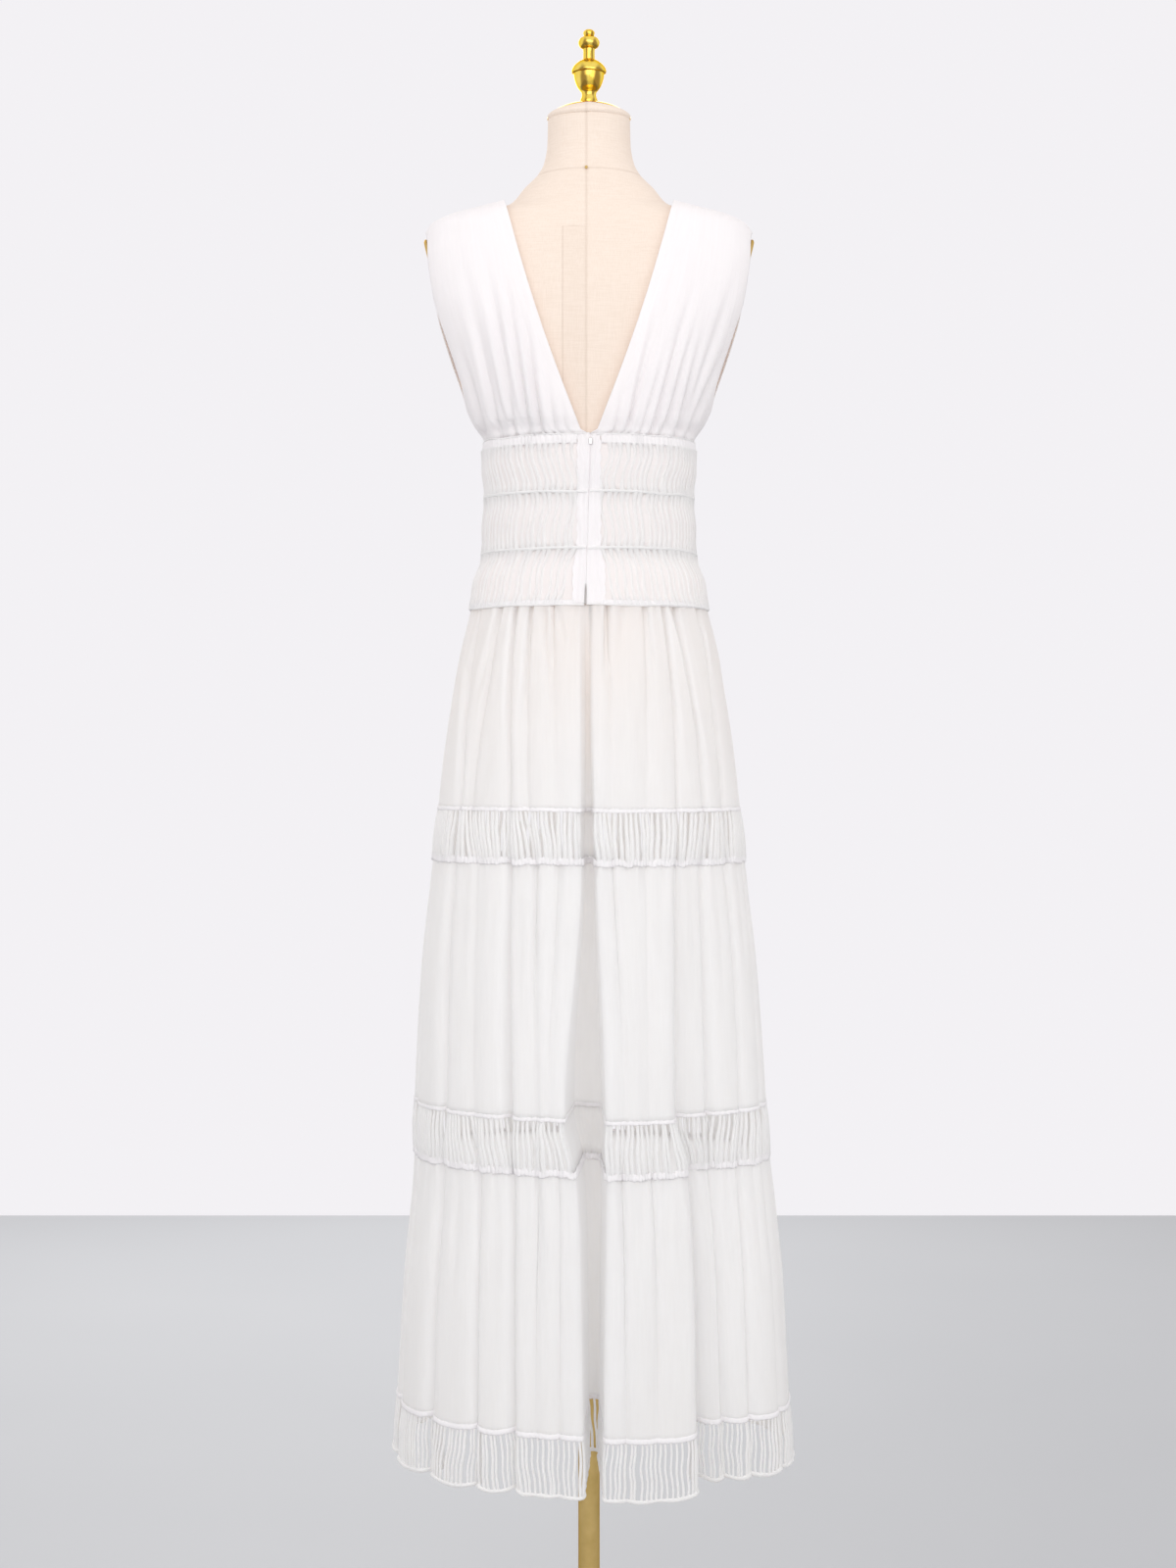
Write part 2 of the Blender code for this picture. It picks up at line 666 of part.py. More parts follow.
def make_placket(cloth):
    """Two plain strips with the zip's line between them, which opens to a short slit at its foot."""
    top, foot = Z_WAIST_BANDS[0] - SEAM_GAP / 2, Z_WAIST_BANDS[-1] + SEAM_GAP / 2
    slit_top = foot + ZIP_SLIT_HEIGHT
    heights = (top, 1.3600, Z_WAIST_BANDS[1], 1.2975, Z_WAIST_BANDS[2], slit_top + 0.002)
    heights += (slit_top, foot)
    for name, side in (("zip_placket_left", 1), ("zip_placket_right", -1)):
        rows = []
        for z in heights:
            section = section_at(WAIST_SECTIONS, z)
            line = ZIP_SLIT if z <= slit_top else ZIP_LINE
            inner_edge = zip_line_x(z) + side * line / 2
            row = []
            for share in (0.0, 0.5, 1.0):
                x = inner_edge + (side * PLACKET_HALF_WIDTH - inner_edge) * share
                row.append((x, section_y(section, x, section.back), z))
            rows.append(row if side < 0 else row[::-1])
        cloth_wall(name, rows, cloth, closed=False)


def make_slider(metal):
    """The invisible zip's small slider, closed at the top of its line."""
    bpy.ops.mesh.primitive_cube_add(size=1.0)
    slider = bpy.context.object
    slider.name = "zip_slider"
    slider.data.name = "zip_slider"
    z = Z_WAIST_BANDS[0] - SLIDER_BELOW_TOP
    for vertex in slider.data.vertices:
        for axis, size in enumerate(SLIDER_SIZE):
            vertex.co[axis] *= size
    back = section_at(WAIST_SECTIONS, z).back
    y = back + CLOTH + 2 * SEAM_GAP + SLIDER_SIZE[1] / 2
    slider.location = (zip_line_x(z), y, z)
    bevel = slider.modifiers.new("Edge", "BEVEL")
    bevel.width = SLIDER_SIZE[1] / 4
    bevel.segments = 1
    slider.data.materials.append(metal)
    for holder in list(slider.users_collection):
        holder.objects.unlink(slider)
    PARTS.objects.link(slider)


PIPING_POINTS = 45


def make_pipings(cloth):
    """A cord round each edge of the waist bands, cut where it crosses the zip's line."""
    for number, z in enumerate(Z_WAIST_BANDS, start=1):
        section = section_at(WAIST_SECTIONS, z)
        away = CLOTH + RIB + SEAM_GAP + PIPING_RADIUS
        curve = bpy.data.curves.new(f"waist_piping_{number}", "CURVE")
        curve.dimensions = "3D"
        curve.bevel_depth = PIPING_RADIUS
        curve.bevel_resolution = 0
        curve.use_fill_caps = True
        spline = curve.splines.new("POLY")
        spline.points.add(PIPING_POINTS - 1)
        gap = PIPING_GAP / section.width
        middle = zip_line_x(z) / section.width
        for index, point in enumerate(spline.points):
            turn = middle + gap / 2 + (2 * math.pi - gap) * index / (PIPING_POINTS - 1)
            x, y = section_point(section, turn)
            normal = ellipse_normal(section, turn)
            point.co = (x + normal[0] * away, y + normal[1] * away, z, 1.0)
        curve.materials.append(cloth)
        PARTS.objects.link(bpy.data.objects.new(f"waist_piping_{number}", curve))


# ---------------------------------------------------------------- skirt

# A fold has a ridge, an edge, a valley and an edge. Before the first one, a row that is cut at the
# centre back holds its own end, a corner of the deep fold and that fold's edge.
COLUMNS_A_FOLD = 4
COLUMNS_BEFORE_FOLDS = 3


def front_folds():
    """Folds like the back's, spaced unevenly round the front by a rule."""
    folds = []
    first, last = FRONT_FOLD_ARC
    for number in range(FRONT_FOLD_COUNT):
        sway = math.sin(2.4 * number + 0.6)
        swell = 0.5 + 0.5 * math.sin(1.7 * number + 2.0)
        turn = first + (last - first) * number / (FRONT_FOLD_COUNT - 1)
        turns = tuple(turn + sway * lean for lean in FRONT_FOLD_LEANS)
        depths = tuple(
            least + swell * (most - least)
            for least, most in zip(FRONT_FOLD_LEAST, FRONT_FOLD_MOST)
        )
        halves = tuple(half + swell for half in FRONT_FOLD_HALVES)
        folds.append(Fold(f"front {number}", turns, depths, halves))
    return folds


def folds_as_turn_falls():
    """Every plain fold from the centre back round by the right side, the front and the left."""
    right = [fold for fold in BACK_FOLDS if fold.turns[0] < 0]
    left = [fold for fold in BACK_FOLDS if fold.turns[0] > 0]
    beyond = [
        fold._replace(turns=tuple(turn - 360 for turn in fold.turns))
        for fold in front_folds()[::-1] + left
    ]
    return right + beyond


def skirt_point(section, turn):
    """(x, y) on the skirt's section, where a turn's sine is its share of the half width."""
    depth = section.back if math.cos(turn) >= 0 else section.front
    x = section.width * math.sin(turn)
    return x, math.copysign(section_y(section, x, depth), math.cos(turn))


def step_back(turn, z):
    """How far the cloth past the step fold hangs in, in metres."""
    fold = next(fold for fold in BACK_FOLDS if fold.name == STEP_FOLD)
    start = math.radians(between(LEVELS, fold.turns, z))
    if turn > start + 0.001 or turn < STEP_END:
        return 0.0
    return between(LEVELS, STEP_DEPTHS, z) / 1000 * (turn - STEP_END) / (start - STEP_END)


def skirt_columns(section, right_mouth, left_mouth):
    """Pairs of a turn in radians and a sink in metres, from one edge of the deep fold to the other."""
    z = section.z
    ridge = -RIDGE_RISE * min((Z_WAIST_BANDS[-1] - z) / RIDGE_START, 1.0)
    columns = [(right_mouth, 0.0)]
    for fold in folds_as_turn_falls():
        turn = math.radians(between(LEVELS, fold.turns, z))
        depth = section.back if math.cos(turn) >= 0 else section.front
        speed = math.hypot(section.width * math.cos(turn), depth * math.sin(turn))
        half = between(LEVELS, fold.halves, z) / 1000 / speed
        columns.append(((columns[-1][0] + turn + half) / 2, ridge))
        columns.append((turn + half, 0.0))
        columns.append((turn, between(LEVELS, fold.depths, z) / 1000))
        columns.append((turn - half, 0.0))
    columns.append(((columns[-1][0] + left_mouth) / 2, ridge))
    columns.append((left_mouth, 0.0))
    return columns


def hem_rise(x, sink, side, foot):
    """How much higher than level the cloth hangs at a foot line. foot is 0 at the waist, 1 at hem."""
    lean = LEAN * math.tanh(x / LEAN_WIDTH)
    return foot * (FOLD_LIFT * max(sink, 0.0) + SIDE_LIFT * side**2 + lean)


def skirt_row(z):
    """The skirt's inner points at height z, from the deep fold's right edge as the turn falls."""
    section = section_at(SKIRT_SECTIONS, z)
    right_mouth = math.radians(between(LEVELS, DEEP_FOLD_RIGHT_TURNS, z))
    left_mouth = math.radians(between(LEVELS, DEEP_FOLD_LEFT_TURNS, z)) - 2 * math.pi
    foot = (Z_WAIST_BANDS[-1] - z) / (Z_WAIST_BANDS[-1] - Z_HEM)
    row = []
    for turn, sink in skirt_columns(section, right_mouth, left_mouth):
        x, y = skirt_point(section, turn)
        normal = ellipse_normal(section, turn)
        rise = hem_rise(x, sink, math.sin(turn), foot)
        y -= normal[1] * sink + step_back(turn, z)
        row.append((x - normal[0] * sink, y, z + rise))
    depth = between(LEVELS, DEEP_FOLD_DEPTHS, z) / 1000
    for corners in (DEEP_FOLD_LEFT_CORNERS, DEEP_FOLD_RIGHT_CORNERS):
        x = between(LEVELS, corners, z) / 1000
        row.append((x, section.back - depth, z + hem_rise(x, depth, 0.0, foot)))
    sway = between(SWAY_LEVELS, SWAY_X, z)
    return [(x + sway, y, height) for x, y, height in row]


def skirt_rows(heights):
    """Rows at these heights, with half a seam's gap left above the first and under the last."""
    top, foot = heights[0] - SEAM_GAP / 2, heights[-1] + SEAM_GAP / 2
    return [skirt_row(z) for z in (top, *heights[1:-1], foot)]


def make_round(name, heights, material, rib=0.0):
    """A piece that runs all the way round."""
    cloth_wall(name, skirt_rows(heights), material, closed=True, rib=rib)


def cut_behind(row):
    """The row cut at the centre back, half way between the deep fold's two corners."""
    left_corner, right_corner = row[-2:]
    middle = tuple((left + right) / 2 for left, right in zip(left_corner, right_corner))
    return [middle, right_corner, *row[:-1], middle]


def drawn_in(row):
    """The row with each end half a seam's gap nearer to its neighbour."""
    ends = []
    for end, inner in ((row[0], row[1]), (row[-1], row[-2])):
        share = SEAM_GAP / 2 / math.dist(end, inner)
        ends.append(tuple(start + (stop - start) * share for start, stop in zip(end, inner)))
    return [ends[0], *row[1:-1], ends[1]]


def make_halves(name, heights, material):
    """A tier's two halves, which are sewn together at the centre back and the centre front."""
    folds_on_right = sum(fold.turns[0] < 0 for fold in BACK_FOLDS) + FRONT_FOLD_COUNT // 2
    front_seam = COLUMNS_BEFORE_FOLDS + COLUMNS_A_FOLD * folds_on_right
    rows = [cut_behind(row) for row in skirt_rows(heights)]
    right_half = [drawn_in(row[: front_seam + 1]) for row in rows]
    left_half = [drawn_in(row[front_seam:]) for row in rows]
    cloth_wall(f"{name}_right", right_half, material, closed=False)
    cloth_wall(f"{name}_left", left_half, material, closed=False)


def make_skirt(cloth, net):
    make_halves("skirt_tier_1", (Z_WAIST_BANDS[-1], 1.165, 1.100, 1.040, Z_TIER_1_FOOT), cloth)
    make_round("skirt_lattice_1", (Z_TIER_1_FOOT, Z_TIER_2_TOP), net, RIB)
    make_halves("skirt_tier_2", (Z_TIER_2_TOP, 0.830, 0.740, Z_TIER_2_FOOT), cloth)
    make_round("skirt_lattice_2", (Z_TIER_2_FOOT, Z_TIER_3_TOP), net, RIB)
    make_round("skirt_tier_3", (Z_TIER_3_TOP, 0.500, 0.410, Z_TIER_3_FOOT), cloth)
    make_round("hem_lattice", (Z_TIER_3_FOOT, Z_HEM), net, RIB)


# ---------------------------------------------------------------- all of it

clear_scene()
PARTS = bpy.data.collections.new("maxi_dress_on_form")
bpy.context.scene.collection.children.link(PARTS)

white_cloth = make_material("white_cotton", (0.90, 0.89, 0.89), 0.85)
white_net = make_material("white_openwork", (0.88, 0.87, 0.86), 0.85)
linen = make_material("form_linen", (0.93, 0.80, 0.68), 0.80)
antique_brass = make_material("antique_brass", (0.45, 0.31, 0.12), 0.38, 1.0)
bright_gold = make_material("bright_gold", (0.90, 0.62, 0.18), 0.22, 1.0)
zip_metal = make_material("zip_metal", (0.70, 0.70, 0.70), 0.35, 1.0)

make_stand(linen, antique_brass, bright_gold)
make_bodice(white_cloth)
make_waist_bands(white_net)
make_placket(white_cloth)
make_slider(zip_metal)
make_pipings(white_cloth)
make_skirt(white_cloth, white_net)
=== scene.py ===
# %% [markdown]
# # Finishing a tiered maxi dress on a dress form
#
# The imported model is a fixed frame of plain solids: a torso on a pole, and a dress of bodice,
# waist bands, tiers and openwork bands. This file puts the cloth on it, piece by piece, in place
# of the solids.
#
# Everything is in metres, with +Z up. The dress faces -Y, and the wearer's left side is at +X.
# A place round the body is a turn: 0 degrees is the centre back, 90 the +X side, 180 the front.

import math
from collections import namedtuple

import bpy
import numpy as np
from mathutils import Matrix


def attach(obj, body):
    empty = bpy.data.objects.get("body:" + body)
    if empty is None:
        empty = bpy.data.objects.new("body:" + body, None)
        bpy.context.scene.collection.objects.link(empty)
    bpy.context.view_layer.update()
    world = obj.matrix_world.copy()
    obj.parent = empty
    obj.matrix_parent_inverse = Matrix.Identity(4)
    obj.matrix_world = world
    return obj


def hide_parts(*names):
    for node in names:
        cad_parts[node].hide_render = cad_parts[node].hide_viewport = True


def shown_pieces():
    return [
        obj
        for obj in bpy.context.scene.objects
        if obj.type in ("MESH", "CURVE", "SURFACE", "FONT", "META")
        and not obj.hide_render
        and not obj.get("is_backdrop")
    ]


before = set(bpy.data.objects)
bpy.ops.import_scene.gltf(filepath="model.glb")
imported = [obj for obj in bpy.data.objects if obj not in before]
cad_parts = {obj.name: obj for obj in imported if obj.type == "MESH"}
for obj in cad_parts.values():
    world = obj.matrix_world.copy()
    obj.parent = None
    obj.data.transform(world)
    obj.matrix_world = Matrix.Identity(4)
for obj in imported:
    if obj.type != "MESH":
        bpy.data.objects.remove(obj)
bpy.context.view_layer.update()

# %% [markdown]
# ## A smooth curve through a few levels
#
# The outline of a worn dress and its folds change slowly from one seam to the next, so each is
# given at a few heights alone. Straight lines between them would leave kinks, and Blender's curves
# would have to be drawn one by one. A cubic that passes through every value and never overshoots is
# worked out in NumPy instead.

# %% The curve
def eased(levels, values, z):
    """Values at heights z, on a curve that never overshoots. The levels run downwards."""
    places = -np.asarray(levels, float)
    values = np.asarray(values, float)
    steps = np.diff(places)
    slopes = np.diff(values) / steps
    tangents = np.zeros(len(values))
    tangents[0], tangents[-1] = slopes[0], slopes[-1]
    for index in range(1, len(values) - 1):
        before, after = slopes[index - 1], slopes[index]
        if before * after > 0:
            near = 2 * steps[index] + steps[index - 1]
            far = steps[index] + 2 * steps[index - 1]
            tangents[index] = (near + far) / (near / before + far / after)
    place = np.clip(-np.asarray(z, float), places[0], places[-1])
    index = np.clip(np.searchsorted(places, place, "right") - 1, 0, len(steps) - 1)
    step = steps[index]
    t = (place - places[index]) / step
    start = (1 + 2 * t) * (1 - t) ** 2 * values[index] + t * (1 - t) ** 2 * step * tangents[index]
    end = t**2 * (3 - 2 * t) * values[index + 1] - t**2 * (1 - t) * step * tangents[index + 1]
    return start + end


print("a quarter of the way from 1 to 3:", float(eased((1, 0), (1, 3), 0.75)))

# %% [markdown]
# ## Sections round the body
#
# Cut across at one height, a worn skirt is close to an ellipse, and squarer near the hem. Rings
# could be drawn and lofted by hand. A superellipse gives the same ring from a short row of numbers:
# height, half the width, depth to the front and to the back, and a power, which is 2 for an ellipse
# and may be left out, and 3 for a squarer ring.

# %% Heights of the skirt's seams
Z_WAIST_BANDS = (1.391, 1.3287, 1.2663, 1.204)
Z_TIER_1_FOOT = 0.98
Z_TIER_2_TOP = 0.926
Z_TIER_2_FOOT = 0.652
Z_TIER_3_TOP = 0.597
Z_TIER_3_FOOT = 0.322
Z_HEM = 0.262
print("length of the skirt:", round(Z_WAIST_BANDS[-1] - Z_HEM, 3))

# %% Sections of the skirt
Section = namedtuple("Section", "z width front back power", defaults=(2.0,))

SKIRT_SECTIONS = [Section(*row) for row in (
    (1.204, 0.1315, 0.0985, 0.1005),
    (1.165, 0.14, 0.107, 0.114),
    (1.11, 0.15, 0.116, 0.13),
    (1.05, 0.159, 0.127, 0.145),
    (0.98, 0.1665, 0.139, 0.157),
    (0.926, 0.1715, 0.147, 0.165),
    (0.79, 0.1855, 0.162, 0.175),
    (0.652, 0.1935, 0.175, 0.184, 2.1),
    (0.597, 0.1955, 0.179, 0.188, 2.1),
    (0.45, 0.2085, 0.189, 0.198, 2.3),
    (0.322, 0.2155, 0.196, 0.206, 2.4),
    (0.262, 0.2195, 0.2, 0.211, 2.4),
)]

# The lower skirt hangs a little to one side: heights, and X of its middle there.
SWAY_LEVELS = (1.204, 0.926, 0.652, 0.53, 0.262)
SWAY_X = (0.0, 0.0, -0.0015, -0.005, -0.005)

# %% Read a section at any height
def section_at(sections, z):
    levels = [section.z for section in sections]
    columns = ([section[column] for section in sections] for column in (1, 2, 3, 4))
    return Section(z, *(eased(levels, values, z) for values in columns))


def section_y(section, x, depth):
    """How far from the middle plane the section's wall lies at x."""
    share = np.minimum(np.abs(x) / section.width, 1.0)
    return depth * (1 - share**section.power) ** (1 / section.power)


def depth_at(section, turn):
    """The section's depth on the side that a turn is on."""
    return np.where(np.cos(turn) >= 0, section.back, section.front)


def straight_out(section, turn):
    """The direction, in X and Y, that stands square on the section at a turn."""
    x, y = np.sin(turn) / section.width, np.cos(turn) / depth_at(section, turn)
    length = np.hypot(x, y)
    return x / length, y / length


# %% [markdown]
# ## The skirt's folds
#
# Gathered cloth hangs in folds that start small at the waist and open towards the hem. A cloth
# simulation could drape them, but it would put them where it likes. Here each fold is a valley that
# a table carries through six levels, from the waist to the hem: its turn in degrees, its depth and
# half its mouth's width in millimetres. So it stays where the maker wants it and runs down through
# all the tiers.

# %% Folds of the back
LEVELS = (Z_WAIST_BANDS[-1], Z_TIER_1_FOOT, Z_TIER_2_TOP, Z_TIER_2_FOOT, Z_TIER_3_TOP, Z_HEM)
Fold = namedtuple("Fold", "name turns depths halves")

BACK_FOLDS = [Fold(*row) for row in (
    ("behind left", (88, 84, 82, 80, 79, 78), (2, 6, 6, 8, 7, 10), (5, 8, 8, 10, 9, 11)),
    ("left side", (66, 58, 59, 55, 56, 54), (3, 16, 15, 18, 16, 22), (5, 8, 8, 9, 8, 10)),
    ("left outer", (47, 50, 45, 40, 38.5, 35), (7, 3, 2, 2, 9, 15), (5, 7, 7, 7, 5, 6)),
    ("left pleat", (37, 31, 30, 27, 26, 23), (7, 8, 14, 20, 10, 13), (4, 5, 6, 9, 6, 8)),
    ("left inner", (28, 23, 19.5, 18, 17.5, 16.5), (6, 3, 6, 1, 5, 1), (4, 6, 4, 6, 4, 6)),
    ("left centre", (17, 12, 11, 13.5, 10.5, 9.5), (5, 1, 3, 1, 3, 2), (4, 5, 3, 4, 3, 4)),
    ("right centre", (-9, -8, -8.5, -11, -9.5, -9), (6, 1, 4, 1, 6, 2), (4, 5, 3, 4, 4, 5)),
    ("right inner", (-27, -22, -21, -19, -19, -18), (5, 2, 3, 1, 4, 1), (4, 6, 5, 6, 4, 6)),
    ("right pleat", (-38, -35, -33, -28.5, -32, -31), (6, 5, 4, 3, 9, 18), (4, 5, 5, 6, 6, 8)),
    ("right outer", (-47, -49, -45, -42, -41, -41), (8, 9, 9, 13, 6, 9), (5, 6, 7, 10, 6, 8)),
    ("right side", (-66, -62, -61, -58, -55, -52), (5, 8, 6, 5, 6, 7), (5, 7, 7, 8, 8, 9)),
    ("behind right", (-88, -82, -80, -75, -73, -70), (2, 5, 5, 6, 5, 8), (5, 8, 8, 9, 9, 10)),
)]

# %% The deep fold and the step
# The deep fold at the centre back has two edges, two corners inside and a depth of its own.
DEEP_FOLD_LEFT_TURNS = (4.2, 3.4, 3.0, 8.6, 5.6, 3.2)
DEEP_FOLD_RIGHT_TURNS = (-1.2, -2.4, -2.9, -5.4, -4.7, -3.3)
DEEP_FOLD_LEFT_CORNERS = (4, 5, 5, 18, 9, 5)
DEEP_FOLD_RIGHT_CORNERS = (0, -4, -5, -13, -10, -6)
DEEP_FOLD_DEPTHS = (2, 46, 60, 104, 106, 150)
FLANK_SHARES = (0.15, 0.5, 0.85)

# Past the right pleat the cloth hangs further in, by less and less until this turn.
STEP_FOLD = "right pleat"
STEP_DEPTHS = (0, 0, 8, 48, 54, 68)
STEP_END = math.radians(-70)

# %% Folds of the front
FRONT_FOLD_COUNT = 11
FRONT_FOLD_ARC = (105, 255)
FRONT_FOLD_LEANS = (2.5, 1.0, -0.5, -2.0, 1.5, 3.0)
FRONT_FOLD_LEAST = (5, 3, 4, 5, 5, 5)
FRONT_FOLD_MOST = (7, 9, 11, 17, 10, 19)
FRONT_FOLD_HALVES = (4, 6, 6, 8, 6, 9)


def front_folds():
    folds = []
    first, last = FRONT_FOLD_ARC
    for number in range(FRONT_FOLD_COUNT):
        sway = math.sin(2.4 * number + 0.6)
        swell = 0.5 + 0.5 * math.sin(1.7 * number + 2.0)
        turn = first + (last - first) * number / (FRONT_FOLD_COUNT - 1)
        turns = tuple(turn + sway * lean for lean in FRONT_FOLD_LEANS)
        depths = tuple(
            least + swell * (most - least)
            for least, most in zip(FRONT_FOLD_LEAST, FRONT_FOLD_MOST)
        )
        halves = tuple(half + swell for half in FRONT_FOLD_HALVES)
        folds.append(Fold("front", turns, depths, halves))
    return folds


print("folds:", len(BACK_FOLDS), "behind and", len(front_folds()), "in front")

# %% All the folds, in the order of a row
def folds_as_turn_falls():
    right = [fold for fold in BACK_FOLDS if fold.turns[0] < 0]
    left = [fold for fold in BACK_FOLDS if fold.turns[0] > 0]
    beyond = [
        fold._replace(turns=tuple(turn - 360 for turn in fold.turns))
        for fold in front_folds()[::-1] + left
    ]
    return right + beyond


# %% How the cloth between and under the folds hangs
# Between two folds the cloth swells out a little, from this far under the waist.
RIDGE_RISE = 0.002
RIDGE_START = 0.06

# A fold shortens the cloth, so the hem lifts inside it, most in its middle, and sags between two.
FOLD_LIFT = 0.1
HEM_SAG = 2.8
MOUTH_SAG = 0.65

# The hem lifts at the sides and leans from one side to the other.
SIDE_LIFT = 0.006
LEAN = 0.0035
LEAN_WIDTH = 0.035

# %% A row's points as turns, depths and lifts
def fold_columns(section, z, foot):
    """(turn, sink, rise) of each of a row's points, from one edge of the deep fold to the other.
    foot runs from 0 at the waist to 1 at the hem."""
    flat = 0.0 * z
    ridge = -RIDGE_RISE * np.minimum((Z_WAIST_BANDS[-1] - z) / RIDGE_START, 1.0)
    right_mouth = np.radians(eased(LEVELS, DEEP_FOLD_RIGHT_TURNS, z))
    left_mouth = np.radians(eased(LEVELS, DEEP_FOLD_LEFT_TURNS, z)) - math.tau
    columns = [(right_mouth, flat, flat)]
    for fold in folds_as_turn_falls():
        turn = np.radians(eased(LEVELS, fold.turns, z))
        speed = np.hypot(section.width * np.cos(turn), depth_at(section, turn) * np.sin(turn))
        half = eased(LEVELS, fold.halves, z) / 1000 / speed
        depth = eased(LEVELS, fold.depths, z) / 1000
        sag = HEM_SAG * foot**4 * depth
        columns.append(((columns[-1][0] + turn + half) / 2, ridge, flat))
        columns.append((turn + half, flat, MOUTH_SAG * sag))
        columns.append((turn, depth, depth + sag))
        columns.append((turn - half, flat, MOUTH_SAG * sag))
    columns.append(((columns[-1][0] + left_mouth) / 2, ridge, flat))
    columns.append((left_mouth, flat, flat))
    return columns


# %% The points inside the deep fold
def deep_fold_points(section, z, foot, left, right):
    """From the deep fold's left edge in, across its corners and out to its right edge."""
    depth = eased(LEVELS, DEEP_FOLD_DEPTHS, z) / 1000
    corners = []
    for places in (DEEP_FOLD_LEFT_CORNERS, DEEP_FOLD_RIGHT_CORNERS):
        x = eased(LEVELS, places, z) / 1000
        lift = FOLD_LIFT * depth + LEAN * np.tanh(x / LEAN_WIDTH)
        corners.append(np.array((x, section.back - depth, z + foot * lift)))
    flank = [left + (corners[0] - left) * share for share in FLANK_SHARES]
    return flank + corners + [
        right + (corners[1] - right) * share for share in FLANK_SHARES[::-1]
    ]


# %% The skirt's points, row by row
def skirt_controls(z):
    """Points of the skirt's inner face at heights z, row by row, and the turn of each. Inside the
    deep fold a turn is 0."""
    section = section_at(SKIRT_SECTIONS, z)
    foot = (Z_WAIST_BANDS[-1] - z) / (Z_WAIST_BANDS[-1] - Z_HEM)
    step_turns = next(fold.turns for fold in BACK_FOLDS if fold.name == STEP_FOLD)
    step_start = np.radians(eased(LEVELS, step_turns, z))
    step_depth = eased(LEVELS, STEP_DEPTHS, z) / 1000
    row, turns = [], []
    for turn, sink, rise in fold_columns(section, z, foot):
        x = section.width * np.sin(turn)
        y = np.copysign(section_y(section, x, depth_at(section, turn)), np.cos(turn))
        out_x, out_y = straight_out(section, turn)
        share = (turn - STEP_END) / (step_start - STEP_END)
        past = (turn <= step_start + 0.001) & (turn >= STEP_END)
        lean = LEAN * np.tanh(x / LEAN_WIDTH)
        lift = FOLD_LIFT * rise + SIDE_LIFT * np.sin(turn) ** 2 + lean
        y = y - out_y * sink - np.where(past, step_depth * share, 0.0)
        row.append(np.array((x - out_x * sink, y, z + foot * lift)))
        turns.append(turn)
    row += deep_fold_points(section, z, foot, row[-1], row[0])
    turns += [0.0 * z] * (len(row) - len(turns))
    points = np.array(row).transpose(2, 0, 1)
    points[:, :, 0] += eased(SWAY_LEVELS, SWAY_X, z)[:, None]
    return points, np.array(turns).T


print("points in a row of the skirt:", skirt_controls(np.array([Z_HEM]))[0].shape[1])

# %% [markdown]
# ## From a few points to fine cloth
#
# Cloth has no corners, so the row of points needs a smooth line through it. A Subdivision Surface
# would shrink away from the points and even out the folds. A centripetal Catmull-Rom curve goes
# through every point and never loops. Each stretch gets the same number of steps in every row, so
# the fine grid's columns follow the folds down the skirt.

# %% A rounded row through a few points
def between(t, start, end, a, b):
    """a where t is at its start, b where it is at its end, and a straight line through both."""
    return ((end - t) * a + (t - start) * b) / (end - start)


def rounded_row(points, extras, steps, closed):
    """Points (rows, controls, 3) and extras (rows, controls) at steps[i] places in segment i. An
    extra that is 0 at one end of a segment is 0 all through it."""
    count = points.shape[1]
    segments = count if closed else count - 1
    made, made_extras = [], []
    for index in range(segments):
        if closed:
            at = [(index + shift) % count for shift in (-1, 0, 1, 2)]
        else:
            at = [min(max(index + shift, 0), count - 1) for shift in (-1, 0, 1, 2)]
        p0, p1, p2, p3 = (points[:, place] for place in at)
        if not closed and index == 0:
            p0 = 2 * p1 - p2
        if not closed and index == segments - 1:
            p3 = 2 * p2 - p1
        knots = [np.zeros(len(points))]
        for start, end in ((p0, p1), (p1, p2), (p2, p3)):
            run = np.maximum(np.linalg.norm(end - start, axis=1), 1e-7)
            knots.append(knots[-1] + np.sqrt(run))
        t0, t1, t2, t3 = (knot[:, None] for knot in knots)
        for step in range(steps[index]):
            share = step / steps[index]
            t = t1 + (t2 - t1) * share
            a1 = between(t, t0, t1, p0, p1)
            a2 = between(t, t1, t2, p1, p2)
            a3 = between(t, t2, t3, p2, p3)
            b1 = between(t, t0, t2, a1, a2)
            b2 = between(t, t1, t3, a2, a3)
            made.append(between(t, t1, t2, b1, b2))
            start, end = extras[:, at[1]], extras[:, at[2]]
            plain = (start == 0) | (end == 0)
            made_extras.append(np.where(plain, 0.0, start + (end - start) * share))
    if not closed:
        made.append(points[:, -1])
        made_extras.append(extras[:, -1])
    return np.array(made).transpose(1, 0, 2), np.array(made_extras).T


# %% [markdown]
# ## Directions and lengths on a grid
#
# Creases and gathers move the cloth out of its own surface, and patterns run in metres along it.
# Blender gives normals once a mesh is made, but they are needed before that, while the cloth is
# still a grid of rows and columns.

# %% Outward normals of a grid
def normals_of(grid, closed):
    """The grid's rows go down, and its columns go round as the turn falls."""
    if closed:
        along = np.roll(grid, -1, axis=1) - np.roll(grid, 1, axis=1)
    else:
        along = np.gradient(grid, axis=1)
    down = np.gradient(grid, axis=0)
    normal = np.cross(down, along)
    return normal / np.maximum(np.linalg.norm(normal, axis=2, keepdims=True), 1e-12)


